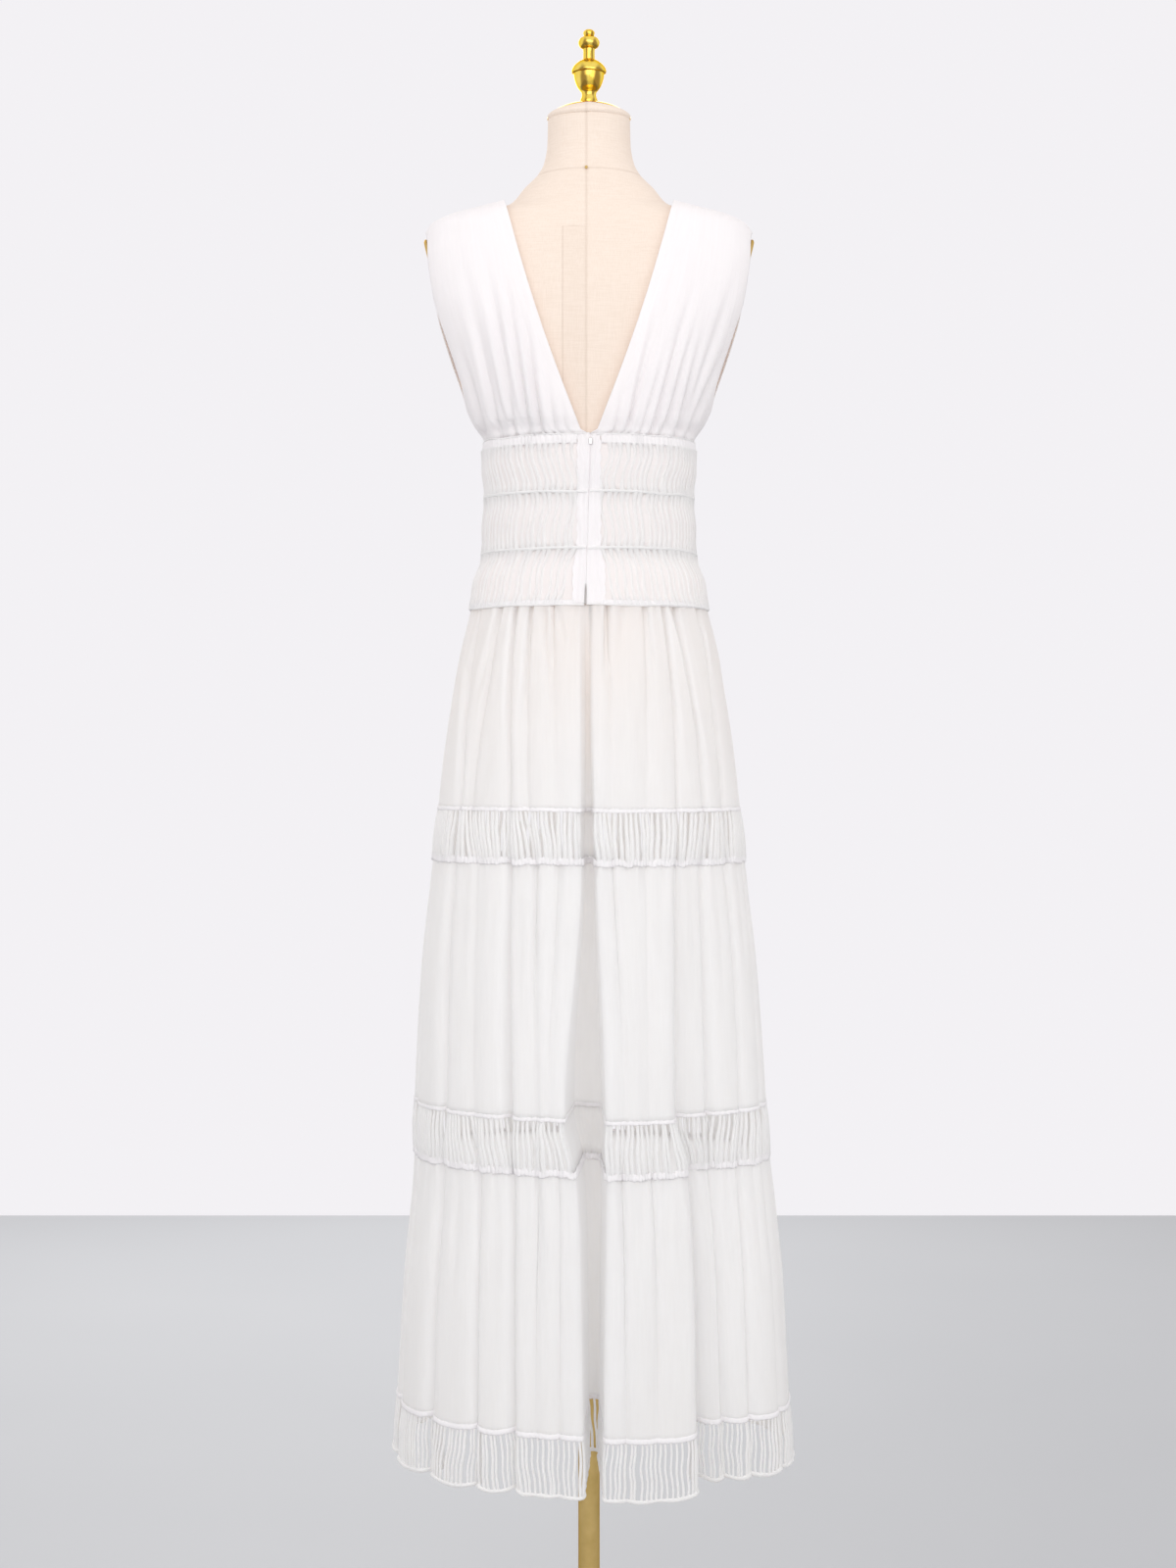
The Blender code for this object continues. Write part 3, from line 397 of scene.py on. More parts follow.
# %% Lengths along a row
def run_along(grid, closed):
    """How far along its row each point lies, in metres, and each row's whole length."""
    following = np.roll(grid, -1, axis=1) if closed else grid[:, 1:]
    runs = np.linalg.norm(following - grid[:, : following.shape[1]], axis=2)
    start = np.zeros((len(grid), 1))
    along = np.concatenate([start, np.cumsum(runs, axis=1)], axis=1)
    return along[:, : grid.shape[1]], along[:, -1]


# %% The middle of the skirt's cloth
# The cloth's middle is this far outside the skirt's sections, and cloth is this thick.
WALL_MIDDLE = 0.0009
CLOTH = 0.0009

# Where the skirt faces away, a coarser grid is enough.
HIDDEN_FROM_Y = 0.02
HIDDEN_PITCH = 1.35
FEWEST_STEPS, MOST_STEPS = 2, 40


def skirt_grid(z, spacing):
    """The middle of the skirt's cloth as a fine grid, with each point's turn."""
    controls, turns = skirt_controls(z)
    runs = np.linalg.norm(np.roll(controls, -1, axis=1) - controls, axis=2).mean(axis=0)
    hidden = controls[..., 1].mean(axis=0) < HIDDEN_FROM_Y
    pitch = np.where(hidden, HIDDEN_PITCH * spacing, spacing)
    steps = np.clip(np.ceil(runs / pitch), FEWEST_STEPS, MOST_STEPS).astype(int)
    grid, turns = rounded_row(controls, turns, steps, closed=True)
    return grid + normals_of(grid, True) * WALL_MIDDLE, turns


hem_line, _ = skirt_grid(np.array([Z_HEM + 0.002, Z_HEM]), 0.004)
print("length of the hem along its folds:", round(float(run_along(hem_line, True)[1][1]), 3))

# %% [markdown]
# ## A shell of cloth
#
# Real cloth has two faces and an edge. A single surface has no thickness at a hem and no inside.
# Solidify could add them, but a shell built straight from the grid also gets a UV map in metres
# along the cloth, so that the weave is the same size on every piece.

# %% A mesh object of the dress
COLLECTION = bpy.data.collections.new("maxi_dress_finish")
bpy.context.scene.collection.children.link(COLLECTION)


def linked(name, mesh):
    made = bpy.data.objects.new(name, mesh)
    COLLECTION.objects.link(made)
    return made


def mesh_object(name, points, faces, material, uvs=None, sharp=None):
    """A smooth mesh in the dress's collection. Edges over the sharp angle stay crisp."""
    mesh = bpy.data.meshes.new(name)
    mesh.from_pydata(points, [], faces)
    if uvs is not None:
        layer = mesh.uv_layers.new(name="cloth")
        layer.data.foreach_set("uv", np.asarray(uvs, np.float32).ravel())
    mesh.materials.append(material)
    mesh.shade_smooth()
    if sharp is not None:
        mesh.set_sharp_from_angle(angle=math.radians(sharp))
    return linked(name, mesh)


# %% A thin shell of cloth about a grid
def shell_object(name, grid, closed, material, thickness=CLOTH):
    """A closed shell with a UV map in metres along the cloth."""
    rows, columns = grid.shape[:2]
    normal = normals_of(grid, closed)
    outer = (grid + normal * thickness / 2).reshape(-1, 3)
    inner = (grid - normal * thickness / 2).reshape(-1, 3)
    inside = rows * columns
    spans = columns if closed else columns - 1
    row, column = np.meshgrid(np.arange(rows - 1), np.arange(spans), indexing="ij")
    row, column = row.ravel(), column.ravel()
    following = (column + 1) % columns
    a, b = row * columns + column, row * columns + following
    c, d = b + columns, a + columns
    along, length = run_along(grid, closed)
    middle = along[rows // 2]
    across = np.append(middle, length[rows // 2])
    down = -grid[..., 2].mean(axis=1)
    u0, u1 = across[column], across[column + 1]
    v0, v1 = down[row], down[row + 1]
    faces = [np.stack([a, d, c, b], 1), inside + np.stack([a, b, c, d], 1)]
    wall = np.stack([u0, v0, u0, v1, u1, v1, u1, v0], 1)
    uvs = [wall, np.stack([u0, v0, u1, v0, u1, v1, u0, v1], 1)]
    ring = np.arange(spans)
    after = (ring + 1) % columns
    last = (rows - 1) * columns
    faces.append(np.stack([ring, after, inside + after, inside + ring], 1))
    faces.append(last + np.stack([after, ring, inside + ring, inside + after], 1))
    rim = np.stack([across[ring], 0 * ring, across[ring + 1], 0 * ring] * 2, 1)
    uvs += [rim, rim]
    if not closed:
        side = np.arange(rows - 1) * columns
        faces.append(np.stack([side, inside + side, inside + side + columns, side + columns], 1))
        side = side + columns - 1
        faces.append(np.stack([side, side + columns, inside + side + columns, inside + side], 1))
        edge = np.stack([0 * side, down[:-1], 0 * side, down[:-1]] * 2, 1)
        uvs += [edge, edge]
    points = np.concatenate([outer, inner]).tolist()
    faces = np.concatenate(faces).tolist()
    return mesh_object(name, points, faces, material, np.concatenate(uvs))


# %% [markdown]
# ## Putting a piece in its place
#
# The whole part is one rigid body, so every piece rides on its root. A piece also names the plain
# solids it stands for, and those are then hidden.


def place(piece, slot, *nodes):
    """The piece moves with the dress and stands for these solids. slot is not used."""
    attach(piece, "root")
    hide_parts(*nodes)
    print(f"{piece.name}: {len(piece.data.polygons)} faces")
    return piece


# %% [markdown]
# ## Materials
#
# A material in Blender is a tree of nodes. These are worked out from patterns, and none reads a
# picture. Cloth takes its weave from the UV map, and the rest use object coordinates, which stay
# with the piece wherever it is put. Every tree needs the same helpers.

# %% Start a material and add a node to it
def new_material(name):
    material = bpy.data.materials.new(name)
    material.use_nodes = True
    tree = material.node_tree
    return material, tree, tree.nodes["Principled BSDF"], tree.nodes["Material Output"]


def node(tree, kind, inputs=None, **settings):
    """A new node with its settings. An input is either a value or another node's output."""
    made = tree.nodes.new(kind)
    for name, value in settings.items():
        setattr(made, name, value)
    for socket, value in (inputs or {}).items():
        if hasattr(value, "links") or hasattr(value, "is_output"):
            tree.links.new(value, made.inputs[socket])
        else:
            made.inputs[socket].default_value = value
    return made


def both(tree, first, second, operation="MULTIPLY"):
    """One step of arithmetic on two values."""
    return node(tree, "ShaderNodeMath", {0: first, 1: second}, operation=operation).outputs[0]


# %% Patterns
def stretched(tree, source, scale):
    """A place in space, scaled for each axis, so that a pattern runs long one way."""
    return node(tree, "ShaderNodeMapping", {"Vector": source, "Scale": scale}).outputs[0]


def noise(tree, place_of, detail, scale=1.0):
    inputs = {"Vector": place_of, "Scale": scale, "Detail": detail}
    return node(tree, "ShaderNodeTexNoise", inputs).outputs["Fac"]


def waves(tree, place_of, direction, distortion, detail):
    inputs = {"Vector": place_of, "Scale": 1.0, "Distortion": distortion, "Detail": detail}
    return node(tree, "ShaderNodeTexWave", inputs, bands_direction=direction).outputs["Fac"]


# %% From a pattern to a tone or a relief
def ramp(tree, value, dark, light, low=0.3, high=0.7):
    """Colours from dark to light as the value goes from low to high."""
    made = node(tree, "ShaderNodeValToRGB", {"Fac": value})
    for element, position, colour in zip(made.color_ramp.elements, (low, high), (dark, light)):
        element.position = position
        element.color = (*colour, 1)
    return made.outputs["Color"]


def ranged(tree, value, low, high, start, end, interpolation="SMOOTHSTEP"):
    """Runs from start to end while the value goes from low to high."""
    inputs = {"Value": value, "From Min": low, "From Max": high, "To Min": start, "To Max": end}
    made = node(tree, "ShaderNodeMapRange", inputs, interpolation_type=interpolation)
    return made.outputs[0]


def blended(tree, share, first, second):
    """The second colour over the first, by this share."""
    inputs = {"Factor": share, "A": first, "B": second}
    return node(tree, "ShaderNodeMix", inputs, data_type="RGBA").outputs["Result"]


def bump(tree, height, distance, strength, normal=None):
    """Tilts the light on the surface as if it had this relief."""
    inputs = {"Height": height, "Distance": distance, "Strength": strength}
    if normal is not None:
        inputs["Normal"] = normal
    return node(tree, "ShaderNodeBump", inputs).outputs[0]


def dull(tree, shader, colour, normal, roughness, gloss):
    """A colour and a relief, on a surface that shines this little."""
    tree.links.new(colour, shader.inputs["Base Color"])
    tree.links.new(normal, shader.inputs["Normal"])
    shader.inputs["Roughness"].default_value = roughness
    shader.inputs["Specular IOR Level"].default_value = gloss


def over(tree, share, first, second):
    """The second shader over the first, by this share."""
    return node(tree, "ShaderNodeMixShader", {0: share, 1: first, 2: second}).outputs[0]


# %% [markdown]
# ## Cotton voile
#
# Voile is a thin, plain weave with slubs, the thicker places in its threads, and much of its
# brightness is light that has come through. Real threads would take millions of faces. Stretched
# noise gives the slubs and crossed waves the weave, as bump on the real folds, and a translucent
# share lets the light of one side glow on the other.

# %% Crinkled cotton voile
SLUBS = (330, 22, 1)
CLOUDS = (24, 9, 1)
WARP, WEFT = (160, 8, 1), (8, 160, 1)


def cotton_material(name, dark, light, see_through, through):
    """see_through is the share that one looks through, and through the share of the rest that
    glows with the light behind it."""
    material, tree, shader, output = new_material(name)
    cloth = node(tree, "ShaderNodeUVMap", uv_map="cloth").outputs[0]
    slubs = noise(tree, stretched(tree, cloth, SLUBS), 3.0)
    clouds = noise(tree, stretched(tree, cloth, CLOUDS), 2.0)
    warp = waves(tree, stretched(tree, cloth, WARP), "X", 1.5, 1.0)
    weft = waves(tree, stretched(tree, cloth, WEFT), "Y", 1.5, 1.0)
    normal = bump(tree, slubs, 0.00045, 0.7)
    normal = bump(tree, both(tree, warp, weft), 0.0001, 0.5, normal)
    tone = node(tree, "ShaderNodeMix", {"Factor": 0.35, "A": slubs, "B": clouds})
    colour = ramp(tree, tone.outputs["Result"], dark, light)
    dull(tree, shader, colour, normal, 0.9, 0.15)
    shader.inputs["Sheen Weight"].default_value = 0.15
    glow = node(tree, "ShaderNodeBsdfTranslucent", {"Color": colour, "Normal": normal}).outputs[0]
    clear = node(tree, "ShaderNodeBsdfTransparent").outputs[0]
    thin = over(tree, see_through, over(tree, through, shader.outputs[0], glow), clear)
    tree.links.new(thin, output.inputs["Surface"])
    return material


COTTON = cotton_material(
    "cotton_voile", (0.964, 0.962, 0.962), (0.993, 0.993, 0.994), see_through=0.05, through=0.56
)
BODICE_COTTON = cotton_material(
    "cotton_doubled", (0.955, 0.94, 0.95), (0.99, 0.978, 0.988), see_through=0.0, through=0.24
)
# The ground under the waist's strands. Its pinkish, slightly darker tone is the linen's tint seen
# through it, and painted shade for the gaps between the strands.
VEIL_WITH_PAINTED_SHADE = cotton_material(
    "cotton_veil_painted_shade", (0.985, 0.955, 0.95), (0.998, 0.98, 0.975), see_through=0.08, through=0.3
)
print("cottons:", COTTON.name, BODICE_COTTON.name, VEIL_WITH_PAINTED_SHADE.name)

# %% [markdown]
# ## Cotton strands
#
# The strands and pipings are strips of the same cotton, rolled or twisted. Twisted plies could be
# modelled, but a strand is 4 mm thick and there are hundreds. A slanting wave as bump reads as the
# twist, and a fine noise as the fuzz.

# %% Twisted cotton strands
TWIST = (260, 260, 420)
FUZZ = 900.0


def strand_material(name, dark, light, through):
    material, tree, shader, output = new_material(name)
    place_of = node(tree, "ShaderNodeTexCoord").outputs["Object"]
    twist = waves(tree, stretched(tree, place_of, TWIST), "DIAGONAL", 3.0, 2.0)
    fuzz = noise(tree, place_of, 2.0, FUZZ)
    colour = ramp(tree, fuzz, dark, light, 0.35, 0.65)
    normal = bump(tree, fuzz, 0.0002, 0.4, bump(tree, twist, 0.0003, 0.6))
    dull(tree, shader, colour, normal, 0.88, 0.2)
    glow = node(tree, "ShaderNodeBsdfTranslucent", {"Color": colour}).outputs[0]
    tree.links.new(over(tree, through, shader.outputs[0], glow), output.inputs["Surface"])
    return material


STRANDS = strand_material("cotton_strands", (0.975, 0.972, 0.97), (0.997, 0.996, 0.995), 0.4)

# %% [markdown]
# ## The form's linen
#
# A dress form is covered in linen, stretched over padding and joined by a few seams. A picture of
# linen would repeat and show its edges. Two noises, each stretched one way, cross here as threads
# of uneven weight. The cover's mesh is pressed in along its seams, and the material darkens the
# same lines, because dirt and shadow gather there.

# %% Where the linen's seams are
CENTRE_SEAM_X = 0.003
NECK_SEAM_Z = 1.688
FLAP_LEFT, FLAP_RIGHT, FLAP_TOP = 0.0035, 0.029, 1.62


def line_mask(tree, value, centre, half):
    """1 on the line value = centre, falling smoothly to 0 at half its width."""
    away = both(tree, value, centre, "SUBTRACT")
    return ranged(tree, both(tree, away, 0.0, "ABSOLUTE"), 0.0, half, 1.0, 0.0)


def linen_seams(tree, axes):
    """Two masks: the seams' lines, and the flap's face."""
    behind = both(tree, axes["Y"], 0.0, "GREATER_THAN")
    under = both(tree, axes["Z"], FLAP_TOP, "LESS_THAN")
    middle = (FLAP_LEFT + FLAP_RIGHT) / 2
    centre = both(tree, line_mask(tree, axes["X"], CENTRE_SEAM_X, 0.0024), behind)
    neck = line_mask(tree, axes["Z"], NECK_SEAM_Z, 0.0018)
    edge = both(tree, line_mask(tree, axes["X"], FLAP_RIGHT, 0.0014), both(tree, behind, under))
    near = both(tree, behind, line_mask(tree, axes["X"], middle, 0.016))
    top = both(tree, line_mask(tree, axes["Z"], FLAP_TOP, 0.0012), near)
    upper, lower = both(tree, centre, neck, "MAXIMUM"), both(tree, edge, top, "MAXIMUM")
    lines = both(tree, upper, lower, "MAXIMUM")
    past_left = both(tree, axes["X"], FLAP_LEFT, "GREATER_THAN")
    across = both(tree, past_left, both(tree, axes["X"], FLAP_RIGHT, "LESS_THAN"))
    return lines, both(tree, both(tree, across, under), behind)


# %% The linen
LINEN_DARK, LINEN_LIGHT = (0.825, 0.69, 0.58), (0.875, 0.745, 0.64)
LINEN_SEAM = (0.36, 0.24, 0.16, 1.0)


def linen_material(name):
    material, tree, shader, _ = new_material(name)
    place_of = node(tree, "ShaderNodeTexCoord").outputs["Object"]
    upright = noise(tree, stretched(tree, place_of, (900, 900, 60)), 2.0)
    level = noise(tree, stretched(tree, place_of, (60, 60, 900)), 2.0)
    weave = both(tree, both(tree, upright, level, "ADD"), 0.5)
    lines, flap = linen_seams(tree, node(tree, "ShaderNodeSeparateXYZ", {0: place_of}).outputs)
    shade = both(tree, both(tree, lines, 0.19), both(tree, flap, 0.05), "ADD")
    colour = ramp(tree, weave, LINEN_DARK, LINEN_LIGHT, 0.38, 0.62)
    colour = blended(tree, shade, colour, LINEN_SEAM)
    sunk = both(tree, weave, both(tree, lines, 1.5), "SUBTRACT")
    dull(tree, shader, colour, bump(tree, sunk, 0.0004, 0.5), 0.85, 0.2)
    return material


LINEN = linen_material("form_linen_cover")

# %% [markdown]
# ## Brass, gold and nickel
#
# The stand's metal is lacquered: aged brass on the pole, the plates and the base, bright gold on
# the cap and the finial. A plain metallic colour would look new and empty. A cloudy tone, fine
# brushing as bump and uneven gloss make it used. A painted reflection of a dark room darkens the
# gold in bands where it faces down and sideways.

# %% Lacquered metal
# Painted reflection: the dark tone that the gold takes where it faces down and sideways, as if it
# mirrored a dark room.
DARK_ROOM_REFLECTION = (0.2, 0.09, 0.015, 1.0)
CLOUDS_PER_METRE = 45.0


def metal_material(name, dark, light, roughness, brush, shadow=0.0):
    material, tree, shader, _ = new_material(name)
    coordinates = node(tree, "ShaderNodeTexCoord").outputs
    clouds = noise(tree, coordinates["Object"], 4.0, CLOUDS_PER_METRE)
    brushed = noise(tree, stretched(tree, coordinates["Object"], brush), 3.0)
    facing = node(tree, "ShaderNodeSeparateXYZ", {0: coordinates["Normal"]}).outputs
    # Painted reflection: dark bands where the surface faces sideways, darker still where it faces
    # down. shadow sets how strong they are, and only the gold has any.
    sideways = both(tree, both(tree, facing["X"], 7.0), -0.9, "ADD")
    bands = both(tree, both(tree, sideways, 0.0, "SINE"), both(tree, facing["Z"], -1.4), "ADD")
    dim = ranged(tree, bands, -0.2, 1.1, 0.0, shadow)
    colour = blended(tree, dim, ramp(tree, clouds, dark, light), DARK_ROOM_REFLECTION)
    tree.links.new(colour, shader.inputs["Base Color"])
    gloss = ranged(tree, clouds, 0.0, 1.0, roughness * 0.8, roughness * 1.25, "LINEAR")
    tree.links.new(gloss, shader.inputs["Roughness"])
    tree.links.new(bump(tree, brushed, 0.00008, 0.35), shader.inputs["Normal"])
    shader.inputs["Specular Tint"].default_value = (*dark, 1.0)
    shader.inputs["Metallic"].default_value = 0.9
    return material


# %% The metals
BRASS = metal_material(
    "antique_brass_lacquer", (0.57, 0.38, 0.115), (0.69, 0.48, 0.17), 0.34, (900, 900, 30)
)
GOLD = metal_material(
    "polished_gold", (0.92, 0.59, 0.045), (1.0, 0.78, 0.16), 0.14, (60, 60, 900), shadow=0.85
)
STEEL = metal_material("zip_nickel", (0.6, 0.6, 0.6), (0.75, 0.75, 0.74), 0.3, (600, 600, 600))
print("materials:", [material.name for material in bpy.data.materials])

# %% [markdown]
# ## Threads
#
# Strands, cords and pipings are all a round thread along a line. A curve with a bevel would do for
# one, and hundreds need a rule. One Geometry Nodes tree makes them all: it resamples lines of
# edges, waves each aside by its own amplitude, cycles and phase, read from named attributes, and
# sweeps a small circle along it.

# %% Start and end a node tree
def start_tree(name, lines, inputs, made):
    """A tree that takes lines and these inputs, and gives one geometry."""
    tree = bpy.data.node_groups.new(name, "GeometryNodeTree")
    tree.interface.new_socket(lines, in_out="INPUT", socket_type="NodeSocketGeometry")
    for label, kind in inputs.items():
        tree.interface.new_socket(label, in_out="INPUT", socket_type="NodeSocket" + kind)
    tree.interface.new_socket(made, in_out="OUTPUT", socket_type="NodeSocketGeometry")
    return tree, tree.nodes.new("NodeGroupInput").outputs


def end_tree(tree, geometry, material):
    """Each tree ends in smooth shading, realized instances and a material. The export
    drops instances and needs a material, so each tree ends in these nodes.
    """
    geometry = node(tree, "GeometryNodeSetShadeSmooth", {"Geometry": geometry}).outputs[0]
    geometry = node(tree, "GeometryNodeRealizeInstances", {"Geometry": geometry}).outputs[0]
    inputs = {"Geometry": geometry, "Material": material}
    geometry = node(tree, "GeometryNodeSetMaterial", inputs).outputs[0]
    tree.links.new(geometry, tree.nodes.new("NodeGroupOutput").inputs[0])
    return tree


def circle(tree, sides, radius):
    inputs = {"Resolution": sides, "Radius": radius}
    return node(tree, "GeometryNodeCurvePrimitiveCircle", inputs).outputs["Curve"]


# %% The tree of threads
THREAD_INPUTS = {"Radius": "Float", "Sides": "Int", "Steps": "Int", "Material": "Material"}


def make_thread_tree():
    tree, given = start_tree("Threads", "Lines", THREAD_INPUTS, "Threads")

    def named(name, kind="FLOAT"):
        inputs = {"Name": name}
        made = node(tree, "GeometryNodeInputNamedAttribute", inputs, data_type=kind)
        return made.outputs["Attribute"]

    line = node(tree, "GeometryNodeMeshToCurve", {"Mesh": given["Lines"]}).outputs[0]
    fine = node(tree, "GeometryNodeResampleCurve", {"Curve": line, "Count": given["Steps"]})
    factor = node(tree, "GeometryNodeSplineParameter").outputs["Factor"]
    angle = both(tree, both(tree, factor, named("cycles")), named("phase"), "ADD")
    wave = both(tree, angle, 0.0, "SINE")
    bow = both(tree, both(tree, factor, math.pi), 0.0, "SINE")
    reach = both(tree, both(tree, wave, bow), named("amplitude"))
    aside = {0: named("side", "FLOAT_VECTOR"), "Scale": reach}
    offset = node(tree, "ShaderNodeVectorMath", aside, operation="SCALE").outputs[0]
    waved = node(
        tree, "GeometryNodeSetPosition", {"Geometry": fine.outputs[0], "Offset": offset}
    ).outputs[0]
    sweep = {
        "Curve": waved, "Profile Curve": circle(tree, given["Sides"], given["Radius"]),
        "Scale": named("girth"), "Fill Caps": True,
    }
    swept = node(tree, "GeometryNodeCurveToMesh", sweep).outputs[0]
    return end_tree(tree, swept, given["Material"])


THREADS = make_thread_tree()
print("nodes in the tree:", len(THREADS.nodes))

# %% Run a tree and keep its mesh
def apply_nodes(made, tree, settings, material):
    """Runs a node tree on the object and keeps the plain mesh that it makes."""
    modifier = made.modifiers.new("Nodes", "NODES")
    modifier.node_group = tree
    for item in tree.interface.items_tree:
        if item.in_out == "INPUT" and item.name in settings:
            modifier[item.identifier] = settings[item.name]
    graph = bpy.context.evaluated_depsgraph_get()
    mesh = bpy.data.meshes.new_from_object(made.evaluated_get(graph))
    made.modifiers.remove(modifier)
    made.data = mesh
    mesh.name = made.name
    mesh.materials.clear()
    mesh.materials.append(material)
    return made


# %% Threads along lines
def thread_object(name, lines, radius, sides, steps, closed=False, **wave):
    """Threads along lines (threads, points, 3), waved by side, amplitude, cycles and phase."""
    threads, points = lines.shape[:2]
    first = np.arange(threads * points).reshape(threads, points)
    edges = np.stack([first[:, :-1].ravel(), first[:, 1:].ravel()], 1)
    if closed:
        edges = np.concatenate([edges, np.stack([first[:, -1], first[:, 0]], 1)])
    mesh = bpy.data.meshes.new(name)
    mesh.from_pydata(lines.reshape(-1, 3).tolist(), edges.tolist(), [])
    for key, usual in (("amplitude", 0.0), ("cycles", 0.0), ("phase", 0.0), ("girth", 1.0)):
        values = np.broadcast_to(np.asarray(wave.get(key, usual), float), (points, threads)).T
        data = mesh.attributes.new(key, "FLOAT", "POINT").data
        data.foreach_set("value", np.ascontiguousarray(values, np.float32).ravel())
    side = np.broadcast_to(wave.get("side", np.zeros(3)), lines.shape)
    data = mesh.attributes.new("side", "FLOAT_VECTOR", "POINT").data
    data.foreach_set("vector", np.ascontiguousarray(side, np.float32).ravel())
    settings = {"Radius": radius, "Sides": sides, "Steps": steps, "Material": STRANDS}
    return apply_nodes(linked(name, mesh), THREADS, settings, STRANDS)


# %% [markdown]
# ## Creases
#
# Worn cotton has creases of its own on top of the large folds, uneven in length, depth and spacing.
# Sculpting would leave nothing to adjust, and noise would look like crumpled paper. Each crease is
# listed instead: its turns from top to foot in degrees, its two heights, and its depth and half
# width in millimetres.

# %% Creases of tier 1
Crease = namedtuple("Crease", "turns top foot depth half")

TIER_1_CREASES = [Crease(*row) for row in (
    ((47.3, 54.8), 1.201, 1.08, 3.2, 3.6),
    ((37.4, 35.5, 32.3), 1.2, 1.02, 3.8, 3.4),
    ((28.5, 27.3, 28.8), 1.201, 1.035, 3.2, 3),
    ((21.5, 17.3, 15.5), 1.199, 1.05, 2.8, 2.8),
    ((14.2, 9.1), 1.201, 1.15, 2.2, 2.6),
    ((7.5, 6.8), 1.2, 1.14, 1.2, 3),
    ((-8.6, -5.7), 1.202, 1.105, 3.4, 2.8),
    ((-16, -14), 1.202, 1.16, 1.6, 2.6),
    ((-28.1, -28.2), 1.201, 1.11, 2.2, 2.8),
    ((-37.6, -37.6, -37), 1.199, 0.99, 2.6, 3),
    ((-44.4, -47.9, -51.4), 1.202, 0.988, 4, 3.4),
    ((-66, -62, -59.5), 1.18, 1.02, 3, 3.6),
    ((66.6, 60, 57.6), 1.14, 0.982, 3, 5),
    ((41.5, 44), 1.06, 0.984, 1.2, 6),
    ((-21, -20), 1.09, 0.984, 1.3, 7),
)]

# %% Creases of tier 2
TIER_2_CREASES = [Crease(*row) for row in (
    ((50, 47.5), 0.924, 0.76, 2, 5),
    ((36, 34), 0.925, 0.8, 1.6, 4.5),
    ((24.5, 22.5), 0.925, 0.72, 2, 4.5),
    ((19.5, 18, 17.5), 0.925, 0.668, 2.2, 4),
    ((11, 12, 13.5), 0.925, 0.7, 1.6, 4.5),
    ((-5.8, -8.2), 0.925, 0.86, 1.2, 4),
    ((-8.5, -11.5), 0.8, 0.66, 0.9, 7),
    ((-14, -14.5), 0.925, 0.85, 1.2, 5),
    ((-26.5, -24), 0.925, 0.8, 1.4, 5),
    ((-38.5, -37), 0.925, 0.76, 2, 5),
    ((-52, -50), 0.925, 0.73, 2, 5),
    ((-69, -66), 0.924, 0.76, 2, 6),
)]

# %% Creases of tier 3
TIER_3_CREASES = [Crease(turns, 0.596, *rest) for turns, *rest in (
    ((47, 45), 0.44, 2.2, 5),
    ((31.5, 29), 0.4, 1.8, 5),
    ((21, 20), 0.5, 2, 4),
    ((17.2, 15.7, 15), 0.44, 2.2, 4),
    ((13.5, 12.4), 0.52, 1.6, 3.6),
    ((8, 7.4), 0.47, 2, 4),
    ((-8.4, -8.5), 0.5, 3, 3.6),
    ((-12.5, -11), 0.44, 1.6, 4.5),
    ((-15.4, -14), 0.47, 2.2, 4),
    ((-23.5, -22), 0.42, 1.8, 5),
    ((-26.8, -27.5), 0.48, 1.8, 4),
    ((-37, -36), 0.4, 2.2, 5),
    ((-47.5, -46.5), 0.42, 2.2, 5),
    ((-63, -61), 0.44, 2, 6),
)]
print("creases:", len(TIER_1_CREASES), len(TIER_2_CREASES), len(TIER_3_CREASES))

# %% Creases of the sides and the front
HIDDEN_TURNS = (76, 284)


def hidden_creases(top, foot, seed):
    rng = np.random.default_rng(seed)
    made = []
    turn = HIDDEN_TURNS[0]
    while turn < HIDDEN_TURNS[1]:
        reach = rng.uniform(0.35, 0.95)
        lean = rng.uniform(-3.0, 3.0)
        made.append(Crease(
            (turn - 360, turn - 360 + lean), top - 0.001, top - (top - foot) * reach,
            rng.uniform(1.4, 3.4), rng.uniform(3.0, 5.5),
        ))
        turn += rng.uniform(6.0, 13.0)
    return made


# %% How far the creases move the cloth
# A crease is a trough, and the cloth that it takes rises in a low ridge on each side.
RIDGE_AWAY = 1.9
CREASE_RIDGE = 0.4


def smooth_step(share):
    """0 up to 0, 1 from 1, and an S-shaped curve between."""
    share = np.clip(share, 0.0, 1.0)
    return share * share * (3 - 2 * share)


def bell(away):
    """1 at 0, and next to nothing from 2 on."""
    return np.exp(-(away**2))


def trough(away, ridge):
    return bell(away) - ridge * bell(np.abs(away) - RIDGE_AWAY)


def crease_push(creases, grid, turns):
    """In metres, outwards."""
    z = grid[..., 2]
    section = section_at(SKIRT_SECTIONS, z.mean(axis=1))
    depth = depth_at(Section(*(np.asarray(v)[:, None] for v in section)), turns)
    speed = np.hypot(section.width[:, None] * np.cos(turns), depth * np.sin(turns))
    push = np.zeros(z.shape)
    for crease in creases:
        share = (crease.top - z) / (crease.top - crease.foot)
        shown = [turn if turn < 0 else turn - 360 for turn in crease.turns]
        middle = np.radians(np.interp(share, np.linspace(0, 1, len(shown)), shown))
        away = (turns - middle) * speed / (crease.half / 1000)
        fade = smooth_step(share / 0.06 + 0.5) * smooth_step((1 - share) / 0.5)
        push -= crease.depth / 1000 * fade * trough(away, CREASE_RIDGE)
    return np.where(turns == 0, 0.0, push)


# %% [markdown]
# ## Gathers
#
# Where a wide strip is sewn to a narrower one, its spare cloth stands in many small gathers that
# fade out below the seam. A table of hundreds would be no help to a maker. A rule with a seed
# places them along the seam, each with its own size, reach and lean: uneven, and yet the same on
# every run.

